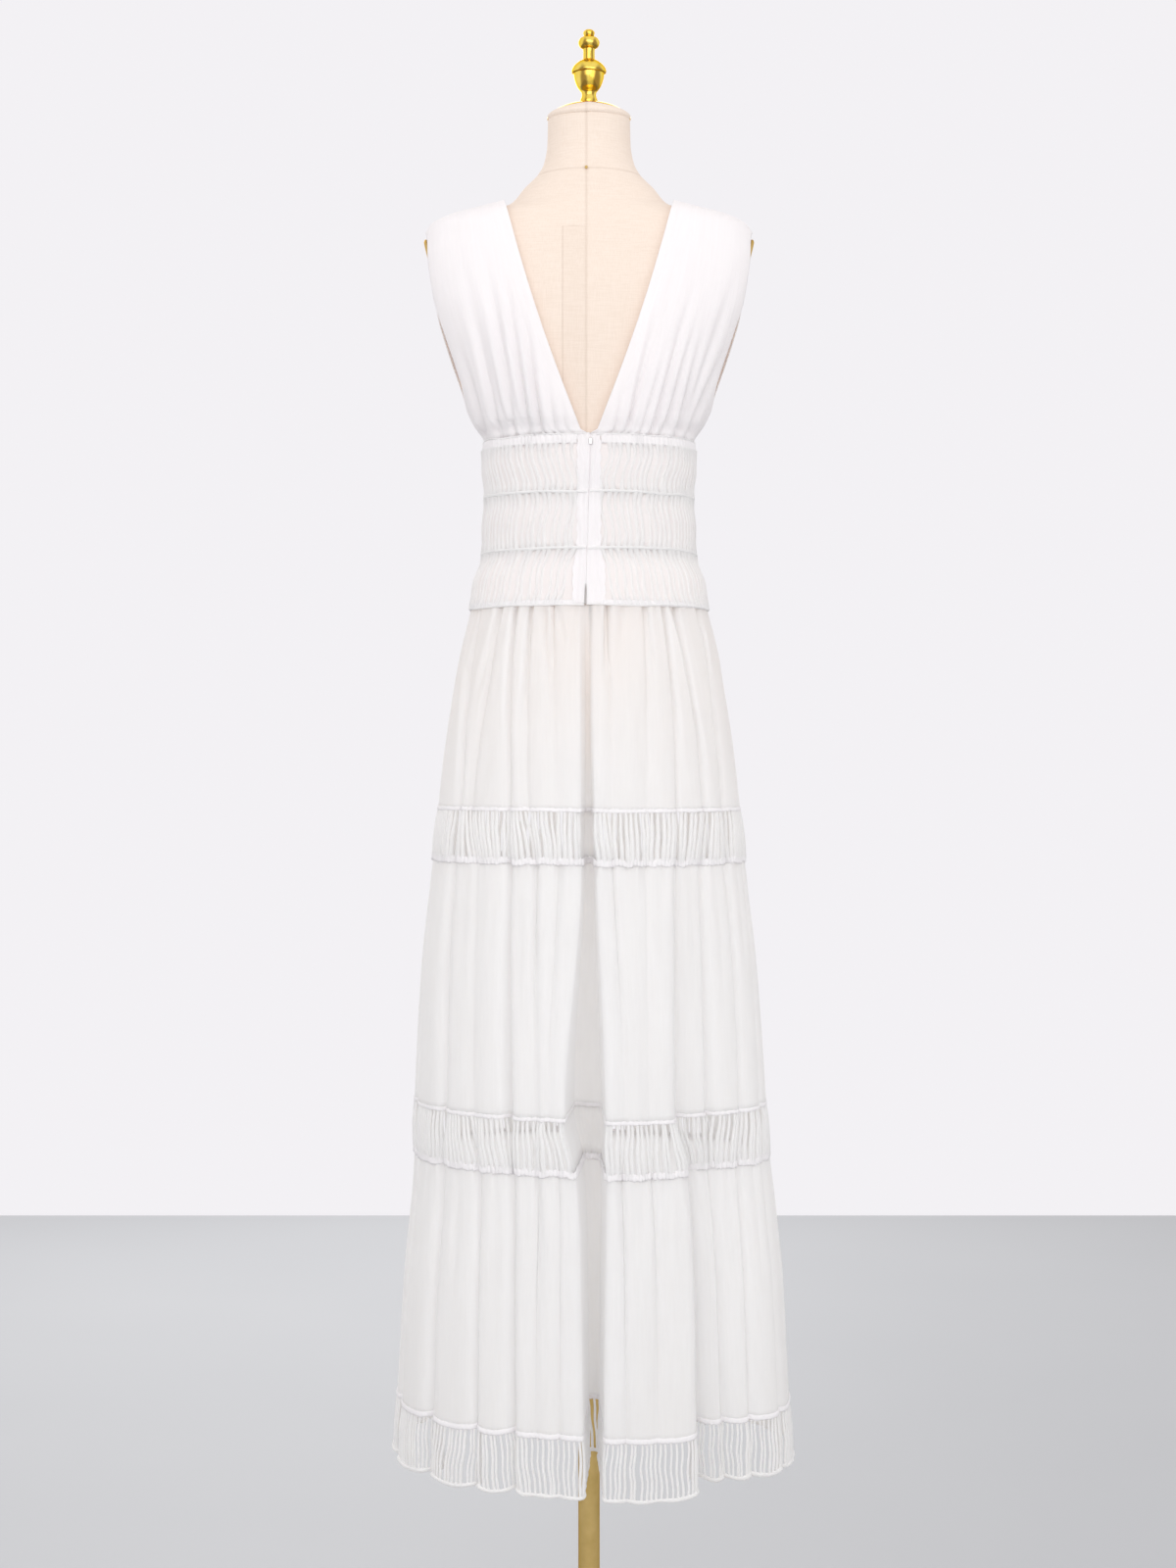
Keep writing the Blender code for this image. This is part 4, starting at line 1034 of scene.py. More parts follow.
# %% How far the gathers move the cloth
Gather = namedtuple("Gather", "pitch depth reach")

FINE_GATHERS = Gather(0.0085, 0.0016, 0.022)
WIDE_GATHERS = Gather(0.019, 0.0012, 0.045)


def gather_push(grid, seed, gather):
    """In metres, outwards, from a seam along the grid's first row."""
    rng = np.random.default_rng(seed)
    along, length = run_along(grid[:1], True)
    along, length = along[0], float(length[0])
    below = grid[:1, :, 2] - grid[..., 2]
    push = np.zeros(below.shape)
    place_at = 0.0
    while place_at < length:
        size = gather.depth * rng.uniform(0.45, 1.3)
        fall = gather.reach * rng.uniform(0.4, 1.8)
        half = gather.pitch * rng.uniform(0.24, 0.42)
        lean = rng.uniform(-0.1, 0.1)
        away = along[None, :] - place_at - lean * below
        away = (away + length / 2) % length - length / 2
        fade = (0.55 + 0.45 * smooth_step(below / 0.006)) * np.exp(-((below / fall) ** 1.5))
        push -= size * fade * bell(away / half)
        place_at += gather.pitch * rng.uniform(0.6, 1.5)
    return push


# %% [markdown]
# ## The three tiers
#
# A tier is one wide strip of voile, gathered into the seam above it. Displacement could give its
# small forms, but the grid has the folds already, so creases and gathers push it along its normals.
# A lower tier hangs quieter, so its creases are scaled down.

# %% The tiers' sizes
Tier = namedtuple("Tier", "name nodes top foot spacing creases quiet seed")

TIERS = [
    Tier("skirt_tier_1", ("skirt_tier_1_left", "skirt_tier_1_right"), Z_WAIST_BANDS[-1],
         Z_TIER_1_FOOT, 0.0021, TIER_1_CREASES, 0.9, 11),
    Tier("skirt_tier_2", ("skirt_tier_2_left", "skirt_tier_2_right"), Z_TIER_2_TOP,
         Z_TIER_2_FOOT, 0.0027, TIER_2_CREASES, 0.65, 23),
    Tier("skirt_tier_3", ("skirt_tier_3",), Z_TIER_3_TOP,
         Z_TIER_3_FOOT, 0.003, TIER_3_CREASES, 0.7, 37),
]
TIER_ROWS = 46

# %% The grid of a tier
def tier_rows(top, foot):
    """Heights from top to foot, closer together under the seam, where the gathers are."""
    share = np.linspace(0, 1, TIER_ROWS)
    return top - (top - foot) * (0.45 * share + 0.55 * share**1.6)


def tier_grid(tier):
    grid, turns = skirt_grid(tier_rows(tier.top, tier.foot), tier.spacing)
    creases = tier.creases + hidden_creases(tier.top, tier.foot, tier.seed)
    push = tier.quiet * crease_push(creases, grid, turns)
    push += gather_push(grid, tier.seed + 1, FINE_GATHERS)
    push += gather_push(grid, tier.seed + 2, WIDE_GATHERS)
    return grid + normals_of(grid, True) * push[..., None]


# %% Make the tiers
for tier in TIERS:
    piece = shell_object(tier.name + "_cloth", tier_grid(tier), True, COTTON)
    place(piece, "white_cotton", *tier.nodes)


# %% [markdown]
# ## Openwork bands of the skirt
#
# Between the tiers the cloth is drawn into strands with narrow gaps between them. Holes could be
# cut in a sheet, but the strands are round and each bends its own way. So each band is a row of
# threads from the hem above it to the seam below. A random number that wanders slowly makes
# neighbours lean and wave together, as drawn threads do.

# %% The bands' sizes
# The taper is the girth of a band's strands at its top and at its foot.
Lattice = namedtuple("Lattice", "name top foot pitch radius lean amplitude taper closed_fold seed")

LATTICES = [
    Lattice("skirt_lattice_1", Z_TIER_1_FOOT, Z_TIER_2_TOP, 0.006, 0.00195, 0.0012, 0.0005,
            (0.78, 1.48), True, 5),
    Lattice("skirt_lattice_2", Z_TIER_2_FOOT, Z_TIER_3_TOP, 0.006, 0.0019, 0.002, 0.0007,
            (0.78, 1.48), True, 6),
    Lattice("hem_lattice", Z_TIER_3_FOOT, Z_HEM, 0.0056, 0.0014, 0.0035, 0.0011,
            (0.9, 1.1), False, 7),
]
LATTICE_ROWS = 5
LATTICE_SPACING = 0.004
STRAND_SIDES = 6


def lattice_heights(lattice):
    """From just behind the hem above to just inside the seam below."""
    return np.linspace(lattice.top + 0.002, lattice.foot - 0.001, LATTICE_ROWS)


# %% Random numbers that change slowly
def wandering(rng, count, smooth, closed=True):
    """They lie about 0, with a spread of 1."""
    raw = rng.normal(size=count + (0 if closed else 2 * smooth))
    window = np.hanning(2 * smooth + 1)
    if closed:
        raw = np.concatenate([raw[-smooth:], raw, raw[:smooth]])
    slow = np.convolve(raw, window, "valid")[:count]
    return slow / max(slow.std(), 1e-9)


# %% Where the strands start
def strand_places(lattice, turns, along, rng):
    """Each strand's place along the middle row, and how far it leans. Inside a closed fold the
    strands are left out."""
    length = along[-1]
    count = int(length / lattice.pitch)
    starts = (np.arange(count) + rng.uniform(-0.22, 0.22, count)) * length / count
    leans = lattice.lean * wandering(rng, count, 14) + 0.0004 * rng.normal(size=count)
    if lattice.closed_fold:
        at = np.interp(starts, along, np.arange(len(along))).astype(int)
        shown = ~(turns == 0).all(axis=0)[at % turns.shape[1]]
        starts, leans = starts[shown], leans[shown]
    return starts, leans


# %% The strands of a band
def lattice_strands(lattice):
    grid, turns = skirt_grid(np.clip(lattice_heights(lattice), Z_HEM, None), LATTICE_SPACING)
    normal = normals_of(grid, True)
    along, length = run_along(grid, True)
    middle = LATTICE_ROWS // 2
    along = np.append(along[middle], length[middle])
    across = np.roll(grid, -1, axis=1) - np.roll(grid, 1, axis=1)
    across /= np.linalg.norm(across, axis=2, keepdims=True)
    rng = np.random.default_rng(lattice.seed)
    starts, leans = strand_places(lattice, turns, along, rng)
    count = len(starts)
    lines, sides = [], []
    for row in range(LATTICE_ROWS):
        share = row / (LATTICE_ROWS - 1)
        place_at = (starts + leans * (share - 0.5)) % along[-1]
        column = np.interp(place_at, along, np.arange(len(along)))
        low = column.astype(int) % grid.shape[1]
        high = (low + 1) % grid.shape[1]
        part = (column - np.floor(column))[:, None]
        point = grid[row, low] * (1 - part) + grid[row, high] * part
        inwards = 0.001 - 0.0016 * math.sin(math.pi * share)
        lines.append(point - normal[row, low] * inwards)
        sides.append(across[row, low])
    taper = np.linspace(*lattice.taper, LATTICE_ROWS)[:, None]
    wave = {
        "side": np.array(sides).transpose(1, 0, 2),
        "amplitude": lattice.amplitude * rng.uniform(0.7, 1.2, count),
        "cycles": math.tau * (1.3 + 0.15 * wandering(rng, count, 10)),
        "phase": 1.5 * wandering(rng, count, 12),
        "girth": rng.uniform(0.85, 1.15, count) * taper,
    }
    return thread_object(
        lattice.name + "_strands", np.array(lines).transpose(1, 0, 2), lattice.radius,
        STRAND_SIDES, 10, **wave,
    )


# %% Make the bands
for lattice in LATTICES:
    place(lattice_strands(lattice), "white_openwork", lattice.name)


# %% [markdown]
# ## The cloth inside the deep fold
#
# Inside the deep fold the strands of the upper two bands lie doubled and close up: they look like
# crinkled cloth, and nothing shows between them. Strands by the hundred would be wasted there. A
# narrow shell with a ripple for each strand does the same and closes the view to the pole.

# %% Make the cloth inside the deep fold
FOLD_CLOTH_OVERLAP = 5
FOLD_CLOTH_SPACING = 0.0012
FOLD_CLOTH_THICKNESS = 0.0004
FOLD_RIPPLE, FOLD_INWARDS = 0.0005, 0.0012


def fold_cloth(lattice):
    grid, turns = skirt_grid(lattice_heights(lattice), FOLD_CLOTH_SPACING)
    inside = (turns == 0).all(axis=0)
    first = int(np.flatnonzero(inside & ~np.roll(inside, 1))[0]) - FOLD_CLOTH_OVERLAP
    kept = np.arange(first, first + inside.sum() + 2 * FOLD_CLOTH_OVERLAP) % len(inside)
    along, _ = run_along(grid, True)
    ripple = FOLD_RIPPLE * np.sin(math.tau * along / lattice.pitch) - FOLD_INWARDS
    made = grid + normals_of(grid, True) * ripple[..., None]
    return shell_object(
        lattice.name + "_fold", made[:, kept], False, COTTON, FOLD_CLOTH_THICKNESS
    )


for lattice in LATTICES:
    if lattice.closed_fold:
        place(fold_cloth(lattice), "white_openwork")


# %% [markdown]
# ## The cord in the hem
#
# The foot of the last band is rolled round a cord, which hangs level with a slight wander. A curve
# with a bevel would do, but the tree of threads also lets the girth change from point to point.

# %% Make the hem's cord
CORD_SIDES = 8
HEM_CORD_RADIUS = 0.0021
HEM_CORD_WANDER = 0.0003


def hem_cord():
    grid, _ = skirt_grid(np.array([Z_HEM + 0.002, Z_HEM]), LATTICE_SPACING)
    line = grid[1]
    rng = np.random.default_rng(54)
    line[:, 2] += HEM_CORD_WANDER * wandering(rng, len(line), 4)
    girth = 1 + 0.12 * wandering(rng, len(line), 2)
    return thread_object(
        "skirt_hem_cord", line[None], HEM_CORD_RADIUS, CORD_SIDES, len(line), closed=True,
        girth=girth[:, None],
    )


place(hem_cord(), "white_cotton")

# %% [markdown]
# ## Rolled hems and gathered headings
#
# Each tier ends in a narrow rolled hem, and where a band is sewn to the tier below it, the gathers
# stand up in a rippled heading. A bevelled curve would be too regular. Both are strips a few
# millimetres high that follow the folds, so one function makes them, each with a ripple of its own
# size.

# %% A rippled strip
HEADING_ROWS = 6
HEADING_SPACING = 0.003
HEADING_STEP = 0.00115
HEADING_THICKNESS = 0.0007


def resampled(grid, step):
    """The grid with its columns this far apart along its third row, and each one's distance."""
    along, length = run_along(grid, True)
    count = int(length[2] / step)
    wanted = np.arange(count) / count * grid.shape[1]
    low = wanted.astype(int) % grid.shape[1]
    part = (wanted - np.floor(wanted))[None, :, None]
    fine = grid[:, low] * (1 - part) + grid[:, (low + 1) % grid.shape[1]] * part
    columns = np.arange(grid.shape[1] + 1)
    return fine, np.interp(wanted, columns, np.append(along[2], length[2]))


def seam_heading(name, z, height, pitch, ripple, seed):
    rows = np.linspace(z + 0.35 * height, z - 0.65 * height, HEADING_ROWS)
    grid, _ = skirt_grid(np.clip(rows, Z_HEM, Z_WAIST_BANDS[-1]), HEADING_SPACING)
    fine, distance = resampled(grid, HEADING_STEP)
    count = fine.shape[1]
    rng = np.random.default_rng(seed)
    phase = math.tau * distance / pitch + 1.4 * wandering(rng, count, 9)
    size = ripple * (1 + 0.35 * wandering(rng, count, 12))
    share = np.linspace(0, 1, HEADING_ROWS)[:, None]
    bulge = 0.0005 + 0.0006 * np.sin(math.pi * share)
    waves_out = size * np.sin(phase + 0.9 * share) * (0.5 + 0.5 * np.abs(2 * share - 1))
    made = fine + normals_of(fine, True) * (bulge + waves_out)[..., None]
    scallop = ripple * np.sin(phase) * (1 - 2 * share)
    made[..., 2] += (0.8 * ripple * wandering(rng, count, 6))[None] + scallop
    return shell_object(name, made, True, BODICE_COTTON, HEADING_THICKNESS)


# %% Make the headings and the hems
Heading = namedtuple("Heading", "name z height pitch ripple seed")

HEADINGS = [
    Heading("tier_2_heading", Z_TIER_2_TOP, 0.0072, 0.0042, 0.0008, 61),
    Heading("tier_3_heading", Z_TIER_3_TOP, 0.0072, 0.0042, 0.0008, 62),
    Heading("tier_1_hem", Z_TIER_1_FOOT + 0.001, 0.004, 0.006, 0.0003, 51),
    Heading("tier_2_hem", Z_TIER_2_FOOT + 0.001, 0.004, 0.006, 0.0003, 52),
    Heading("tier_3_hem", Z_TIER_3_FOOT + 0.002, 0.0055, 0.0061, 0.0002, 53),
]
for heading in HEADINGS:
    place(seam_heading(*heading), "white_cotton")


# %% [markdown]
# ## The waist
#
# Three shirred bands hold the waist: strands over a thin ground, with the form's linen showing
# through. The ground's pinkish, slightly darker tone is partly the linen's tint and partly painted
# shade for the gaps between the strands. One surface with a bump would have no gaps, so the tree of
# threads makes the strands again. The pull of the cloth bends them beside the zip: they lean apart
# in the first band, wave in the second and spread downwards in the third.

# %% The waist's sections and a point on them
WAIST_SECTIONS = [Section(*row) for row in (
    (1.391, 0.1165, 0.097, 0.086),
    (1.36, 0.119, 0.096, 0.087),
    (1.3287, 0.1145, 0.091, 0.0845),
    (1.2975, 0.119, 0.093, 0.087),
    (1.2663, 0.1175, 0.092, 0.088),
    (1.23, 0.13, 0.097, 0.0965),
    (1.204, 0.1315, 0.0985, 0.1005),
)]


def waist_point(turn, z, outwards):
    section = section_at(WAIST_SECTIONS, z)
    x = section.width * np.sin(turn)
    y = depth_at(section, turn) * np.cos(turn)
    out_x, out_y = straight_out(section, turn)
    return np.stack([x + out_x * outwards, y + out_y * outwards, z], -1)


# %% The bands' sizes
# left and right are the first strands' distances from the zip, a lean is how far round a strand's
# foot stands from its top, and the bend is the swing of the S between them, all in millimetres. The
# flare is the share by which the leans grow beside the zip.
Band = namedtuple("Band", "name top foot left right lean_left lean_right flare bend amplitude seed")

BANDS = [
    Band("waist_band_upper", Z_WAIST_BANDS[0] - 0.009, Z_WAIST_BANDS[1],
         12, 13, -6.0, 5.0, 0.2, 2.2, 0.5, 71),
    Band("waist_band_middle", Z_WAIST_BANDS[1], Z_WAIST_BANDS[2],
         13, 12, 2.5, -0.5, 0.0, -2.2, 0.5, 72),
    Band("waist_band_lower", Z_WAIST_BANDS[2], Z_WAIST_BANDS[3],
         20, 16, 8.0, -8.0, 0.8, 1.5, 0.5, 73),
]
BAND_ROWS = 7
STRAND_PITCH = 0.0067
STRAND_RADIUS = 0.0023

# The waist's mean radius turns a length into a turn. Beside the zip the body is flatter.
WAIST_RADIUS = 0.105
WAIST_HALF_WIDTH = 0.117

# %% How the strands of a band lean
def band_leans(band, turn, first, last, rng):
    """Each strand's lean and bend in millimetres. Those beside the zip follow the table, and
    those of the sides and the front wander."""
    count = len(turn)
    behind = smooth_step((np.cos(turn) + 0.1) / 0.5)
    left, right = behind * (turn < math.pi), behind * (turn > math.pi)
    other = 1 - left - right
    stray = wandering(rng, count, 4)
    lean = left * band.lean_left + right * band.lean_right + other * 5.0 * stray + 1.0 * stray
    bend = (left - right) * band.bend + other * 2.0 * wandering(rng, count, 5)
    near = np.minimum(turn - first, last - turn)
    return lean * (1 + band.flare * np.exp(-near / 0.12)), bend


# %% The strands of a band
def band_strands(band):
    rng = np.random.default_rng(band.seed)
    first = band.left / (1000 * WAIST_HALF_WIDTH)
    last = math.tau - band.right / (1000 * WAIST_HALF_WIDTH)
    count = int((last - first) * WAIST_RADIUS / STRAND_PITCH)
    turn = first + (last - first) * (np.arange(count) + 0.5) / count
    turn = turn + rng.uniform(-0.2, 0.2, count) * STRAND_PITCH / WAIST_RADIUS
    lean, bend = band_leans(band, turn, first, last, rng)
    lines = []
    for share in np.linspace(0, 1, BAND_ROWS):
        z = np.full(count, band.top + (band.foot - band.top) * share)
        shift = lean * (share - 0.5) + bend * math.sin(math.tau * share)
        puff = 0.0012 * abs(2 * share - 1) ** 3 - 0.0006
        lines.append(waist_point(turn + shift / 1000 / WAIST_RADIUS, z, puff))
    side = np.stack([np.cos(turn), -np.sin(turn), 0 * turn], -1)[:, None]
    ends = np.abs(np.linspace(-1, 1, BAND_ROWS))[:, None] ** 3
    wave = {
        "side": side.repeat(BAND_ROWS, 1),
        "amplitude": band.amplitude / 1000 * rng.uniform(0.5, 1.4, count),
        "cycles": math.tau * rng.uniform(1.2, 2.4, count),
        "phase": 1.5 * wandering(rng, count, 3),
        "girth": rng.uniform(0.82, 1.1, count) * (1 + 0.5 * ends),
    }
    return thread_object(
        band.name + "_strands", np.array(lines).transpose(1, 0, 2), STRAND_RADIUS,
        STRAND_SIDES, 11, **wave,
    )


# %% A strip round the waist, open at the zip
def open_turns(gap, count):
    """Turns round the waist with this gap on each side of the centre back, falling."""
    gap = gap / WAIST_HALF_WIDTH
    return math.tau - gap - (math.tau - 2 * gap) * np.arange(count) / (count - 1)


def waist_strip(name, turn, top, foot, rows, push, material, thickness):
    """A shell from top to foot. push gives how far out it stands at each share of its height."""
    grid = []
    for share in np.linspace(0, 1, rows):
        z = np.full(len(turn), top + (foot - top) * share)
        grid.append(waist_point(turn, z, push(share)))
    return shell_object(name, np.array(grid), False, material, thickness)


# %% The ground of a band
GROUND_COUNT, GROUND_ROWS = 620, 9
GROUND_GAP = 0.01
GROUND_OUT = 0.0004
GROUND_CRINKLE = 0.0003
GROUND_THICKNESS = 0.0003


def band_ground(band):
    rng = np.random.default_rng(band.seed + 10)
    crinkle = GROUND_CRINKLE * wandering(rng, GROUND_COUNT, 3, False)
    # The ground's tone is painted shade for the gaps between the strands, over the linen's tint.
    return waist_strip(
        band.name + "_ground", open_turns(GROUND_GAP, GROUND_COUNT), band.top, band.foot,
        GROUND_ROWS, lambda share: GROUND_OUT + crinkle * math.cos(2 * share), VEIL_WITH_PAINTED_SHADE,
        GROUND_THICKNESS,
    )


# %% Make the waist bands
for band in BANDS:
    place(band_strands(band), "white_openwork", band.name)
    place(band_ground(band), "white_openwork")


# %% [markdown]
# ## Pipings and gathered strips at the waist
#
# A piping is a thin cord in a fold of cloth, sewn into the seam between two bands and cut at the
# zip. A torus would close there and lie too evenly, so it is a thread again, and its cut follows
# the zip's slight lean. At the top of the first band and the foot of the last, a narrow gathered
# strip stands in soft ripples.

# %% The zip's line
ZIP_LEAN = (-0.002, 0.004)


def zip_line_x(z):
    """X of the zip's line at a height."""
    return np.interp(-z, (-Z_WAIST_BANDS[0], -Z_WAIST_BANDS[-1]), ZIP_LEAN)


print("the zip leans from", ZIP_LEAN[0], "to", ZIP_LEAN[1])

# %% Make the pipings
PIPING_RADII = (0.0009, 0.0016, 0.0016, 0.0012)
PIPING_COUNT = 260
PIPING_CUT = 0.012


def waist_piping(number, z, radius):
    """A cord round the waist, cut at the zip's line, that dips and thickens a little."""
    rng = np.random.default_rng(80 + number)
    section = section_at(WAIST_SECTIONS, np.array(z))
    middle = float(zip_line_x(z) / section.width)
    share = np.arange(PIPING_COUNT)
    turn = middle + PIPING_CUT + (math.tau - 2 * PIPING_CUT) * share / (PIPING_COUNT - 1)
    heights = np.full(PIPING_COUNT, z) + 0.0005 * wandering(rng, PIPING_COUNT, 14, False)
    line = waist_point(turn, heights, 0.001 + radius)
    girth = 1 + 0.1 * wandering(rng, PIPING_COUNT, 3, False)
    return thread_object(
        f"waist_piping_{number}_cord", line[None], radius, CORD_SIDES, PIPING_COUNT,
        girth=girth[:, None],
    )


for number, (z, radius) in enumerate(zip(Z_WAIST_BANDS, PIPING_RADII), start=1):
    place(waist_piping(number, z, radius), "white_cotton", f"waist_piping_{number}")


# %% Make the gathered strips
PLACKET_LEVELS = (1.391, 1.3287, 1.2663, 1.24, 1.204)
PLACKET_HALVES = (0.013, 0.013, 0.0135, 0.018, 0.018)
STRIP_COUNT, STRIP_ROWS = 520, 7
STRIP_PITCH, STRIP_RIPPLE = 0.005, 0.0006
STRIP_THICKNESS = 0.0008


def waist_heading(name, top, foot, seed):
    rng = np.random.default_rng(seed)
    turn = open_turns(PLACKET_HALVES[0], STRIP_COUNT)
    stray = 1.2 * wandering(rng, STRIP_COUNT, 9, False)
    phase = turn * WAIST_RADIUS / STRIP_PITCH * math.tau + stray
    depth = STRIP_RIPPLE * (1 + 0.4 * wandering(rng, STRIP_COUNT, 12, False))

    def push(share):
        return 0.0012 + 0.0006 * math.sin(math.pi * share) + depth * np.sin(phase + share)

    return waist_strip(name, turn, top, foot, STRIP_ROWS, push, BODICE_COTTON, STRIP_THICKNESS)


WAIST_STRIPS = [
    ("waist_heading_1", Z_WAIST_BANDS[0], Z_WAIST_BANDS[0] - 0.0105, 91),
    ("waist_heading_2", Z_WAIST_BANDS[3] + 0.005, Z_WAIST_BANDS[3] - 0.001, 92),
]
for strip in WAIST_STRIPS:
    place(waist_heading(*strip), "white_cotton")


# %% [markdown]
# ## The placket
#
# A placket is a plain strip that backs a fastening. Here two strips meet at the zip's line and part
# in a slit at its foot, and each is a shell of its own, as a maker sews them. A flat strip would
# look printed on, so each has a sewn ridge beside the zip, a groove where it turns under, a slight
# pucker and an uneven outer edge.

# %% One strip of the placket
ZIP_SLIT = 0.0018
ZIP_SLIT_HEIGHT = 0.018
HALF_ZIP_LINE = 0.0001
PLACKET_COLUMNS, PLACKET_ROWS = 26, 60
PLACKET_OUT = 0.0012
PLACKET_THICKNESS = 0.0009


def placket_row(height, open_by, side):
    share = np.linspace(0, 1, PLACKET_COLUMNS)
    line = float(zip_line_x(height)) + side * (HALF_ZIP_LINE + ZIP_SLIT / 2 * open_by)
    half = float(eased(PLACKET_LEVELS, PLACKET_HALVES, height))
    half += 0.0007 * math.sin(430 * height + side) + 0.0004 * math.sin(910 * height)
    x = line + (side * half - line) * share
    section = section_at(WAIST_SECTIONS, np.full(len(x), height))
    ridge = 0.0008 * bell((np.abs(x - line) - 0.004) / 0.0022)
    pucker = 0.0005 * np.sin(x * 900 + 1.3 * np.sin(height * 60 + side))
    groove = 0.0008 * bell((x - line) / 0.0009)
    y = section_y(section, x, section.back) + PLACKET_OUT
    return np.stack([x, y + ridge + pucker - groove, np.full(len(x), height)], -1)


def placket(name, side):
    z = np.linspace(Z_WAIST_BANDS[0], Z_WAIST_BANDS[-1], PLACKET_ROWS)
    slit = smooth_step((Z_WAIST_BANDS[-1] + ZIP_SLIT_HEIGHT + 0.004 - z) / 0.006)
    grid = np.array([placket_row(height, open_by, side) for height, open_by in zip(z, slit)])
    if side > 0:
        grid = grid[:, ::-1]
    return shell_object(name, grid, False, BODICE_COTTON, PLACKET_THICKNESS)


# %% Make the placket
for side, hand in ((1, "left"), (-1, "right")):
    place(placket(f"zip_placket_{hand}_cloth", side), "white_cotton", f"zip_placket_{hand}")


# %% [markdown]
# ## The zip's teeth
#
# A coil zip's teeth are the turns of one fine wire, and they show only in the slit at the foot. A
# helix would hide most of its wire in the cloth. A small tree of nodes stands a ring on each point
# of a line instead, and the rings end up as one mesh.

# %% A tree for the teeth
TOOTH_INPUTS = {"Width": "Float", "Wire": "Float", "Material": "Material"}
TOOTH_LEAN = 0.25


def make_teeth_tree():
    tree, given = start_tree("Teeth", "Line", TOOTH_INPUTS, "Coil")
    ring = {
        "Curve": circle(tree, 12, given["Width"]), "Profile Curve": circle(tree, 6, given["Wire"])
    }
    tooth = node(tree, "GeometryNodeCurveToMesh", ring).outputs[0]
    copies = {"Points": given["Line"], "Instance": tooth, "Rotation": (TOOTH_LEAN, 0.0, 0.0)}
    coil = node(tree, "GeometryNodeInstanceOnPoints", copies).outputs[0]
    return end_tree(tree, coil, given["Material"])


# %% Make the teeth
TOOTH_PITCH = 0.0011


def zip_coil():
    foot = Z_WAIST_BANDS[-1]
    z = np.arange(foot + 0.001, foot + ZIP_SLIT_HEIGHT + 0.004, TOOTH_PITCH)
    section = section_at(WAIST_SECTIONS, z)
    points = np.stack([zip_line_x(z), section.back + 0.0006, z], 1)
    mesh = bpy.data.meshes.new("zip_coil")
    mesh.from_pydata(points.tolist(), [], [])
    settings = {"Width": 0.0012, "Wire": 0.0003, "Material": STEEL}
    return apply_nodes(linked("zip_coil", mesh), make_teeth_tree(), settings, STEEL)


place(zip_coil(), "zip_metal")

# %% [markdown]
# ## The bodice's pleats
#
# The bodice is four panels, gathered into the waist, and their fullness runs up towards the
# shoulders in soft pleats. A simulation would need the real pattern's darts. The pleats are listed
# one by one instead: X at the waist and at the upper end, that end's height, and the depth and half
# width in millimetres.

# %% Pleats of the back's left panel
Pleat = namedtuple("Pleat", "foot_x top_x top_z depth half")

BACK_LEFT_PLEATS = [Pleat(*row) for row in (
    (0.112, 0.144, 1.5, 3.5, 3.2),
    (0.097, 0.129, 1.53, 4.5, 3.2),
    (0.081, 0.106, 1.545, 5, 3.4),
    (0.065, 0.093, 1.57, 5.5, 3.4),
    (0.0523, 0.072, 1.535, 6, 3.2),
    (0.0363, 0.045, 1.45, 3.2, 2.8),
    (0.024, 0.03, 1.43, 2, 2.6),
    (0.072, 0.118, 1.6, 2.6, 4.5),
    (0.089, 0.14, 1.585, 2.6, 4.5),
)]

# %% Pleats of the back's right panel
BACK_RIGHT_PLEATS = [Pleat(*row) for row in (
    (0.0416, 0.0757, 1.535, 6.5, 3.4),
    (0.056, 0.09, 1.5, 3.2, 3),
    (0.0682, 0.115, 1.555, 4.8, 3.4),
    (0.082, 0.118, 1.52, 3, 3.2),
    (0.0949, 0.126, 1.51, 4.5, 3.2),
    (0.1056, 0.148, 1.49, 3.8, 3.2),
    (0.098, 0.1642, 1.575, 3, 4),
    (0.028, 0.04, 1.45, 2.6, 2.6),
    (0.048, 0.102, 1.6, 2.4, 4.5),
)]

# %% Pleats of both front panels
FRONT_PLEATS = [Pleat(*row) for row in (
    (0.018, 0.022, 1.45, 3, 3),
    (0.034, 0.048, 1.5, 4.5, 3.4),
    (0.05, 0.074, 1.555, 5.5, 3.6),
    (0.066, 0.1, 1.53, 4.5, 3.4),
    (0.082, 0.118, 1.56, 5, 3.6),
    (0.096, 0.138, 1.51, 4.2, 3.4),
    (0.108, 0.144, 1.47, 3.2, 3.2),
    (0.058, 0.112, 1.6, 2.6, 5),
)]
print("pleats:", len(BACK_LEFT_PLEATS), len(BACK_RIGHT_PLEATS), len(FRONT_PLEATS))

# %% [markdown]
# ## The bodice's form
#
# A panel runs from its neckline to its armhole and from the waist to the shoulder. Cut out of a
# tube with a Boolean, it would have a ragged edge. Here the grid's own sides are the neckline and
# the armhole, so the edges are clean and the columns fan out with the cloth.

# %% Sections of the bodice
BODICE_SECTIONS = [Section(*row) for row in (
    (1.659, 0.095, 0.066, 0.068),
    (1.65, 0.13, 0.069, 0.0725, 2.1),
    (1.64, 0.165, 0.073, 0.0765, 2.3),
    (1.63, 0.179, 0.077, 0.08, 2.5),
    (1.618, 0.184, 0.081, 0.0835, 2.6),
    (1.595, 0.187, 0.087, 0.0885, 2.8),
    (1.55, 0.18, 0.1, 0.095, 3.0),
    (1.51, 0.168, 0.111, 0.0975, 2.8),
    (1.47, 0.153, 0.118, 0.0965, 2.5),
    (1.435, 0.139, 0.114, 0.094, 2.2),
    (1.412, 0.1285, 0.107, 0.0915),
    (1.395, 0.1165, 0.097, 0.086),
    (1.391, 0.1165, 0.097, 0.086),
)]
Z_SHOULDER_NECK = 1.659
NECK_HALF_WIDTH = 0.0946
SHOULDER_HALF_WIDTH = 0.1795

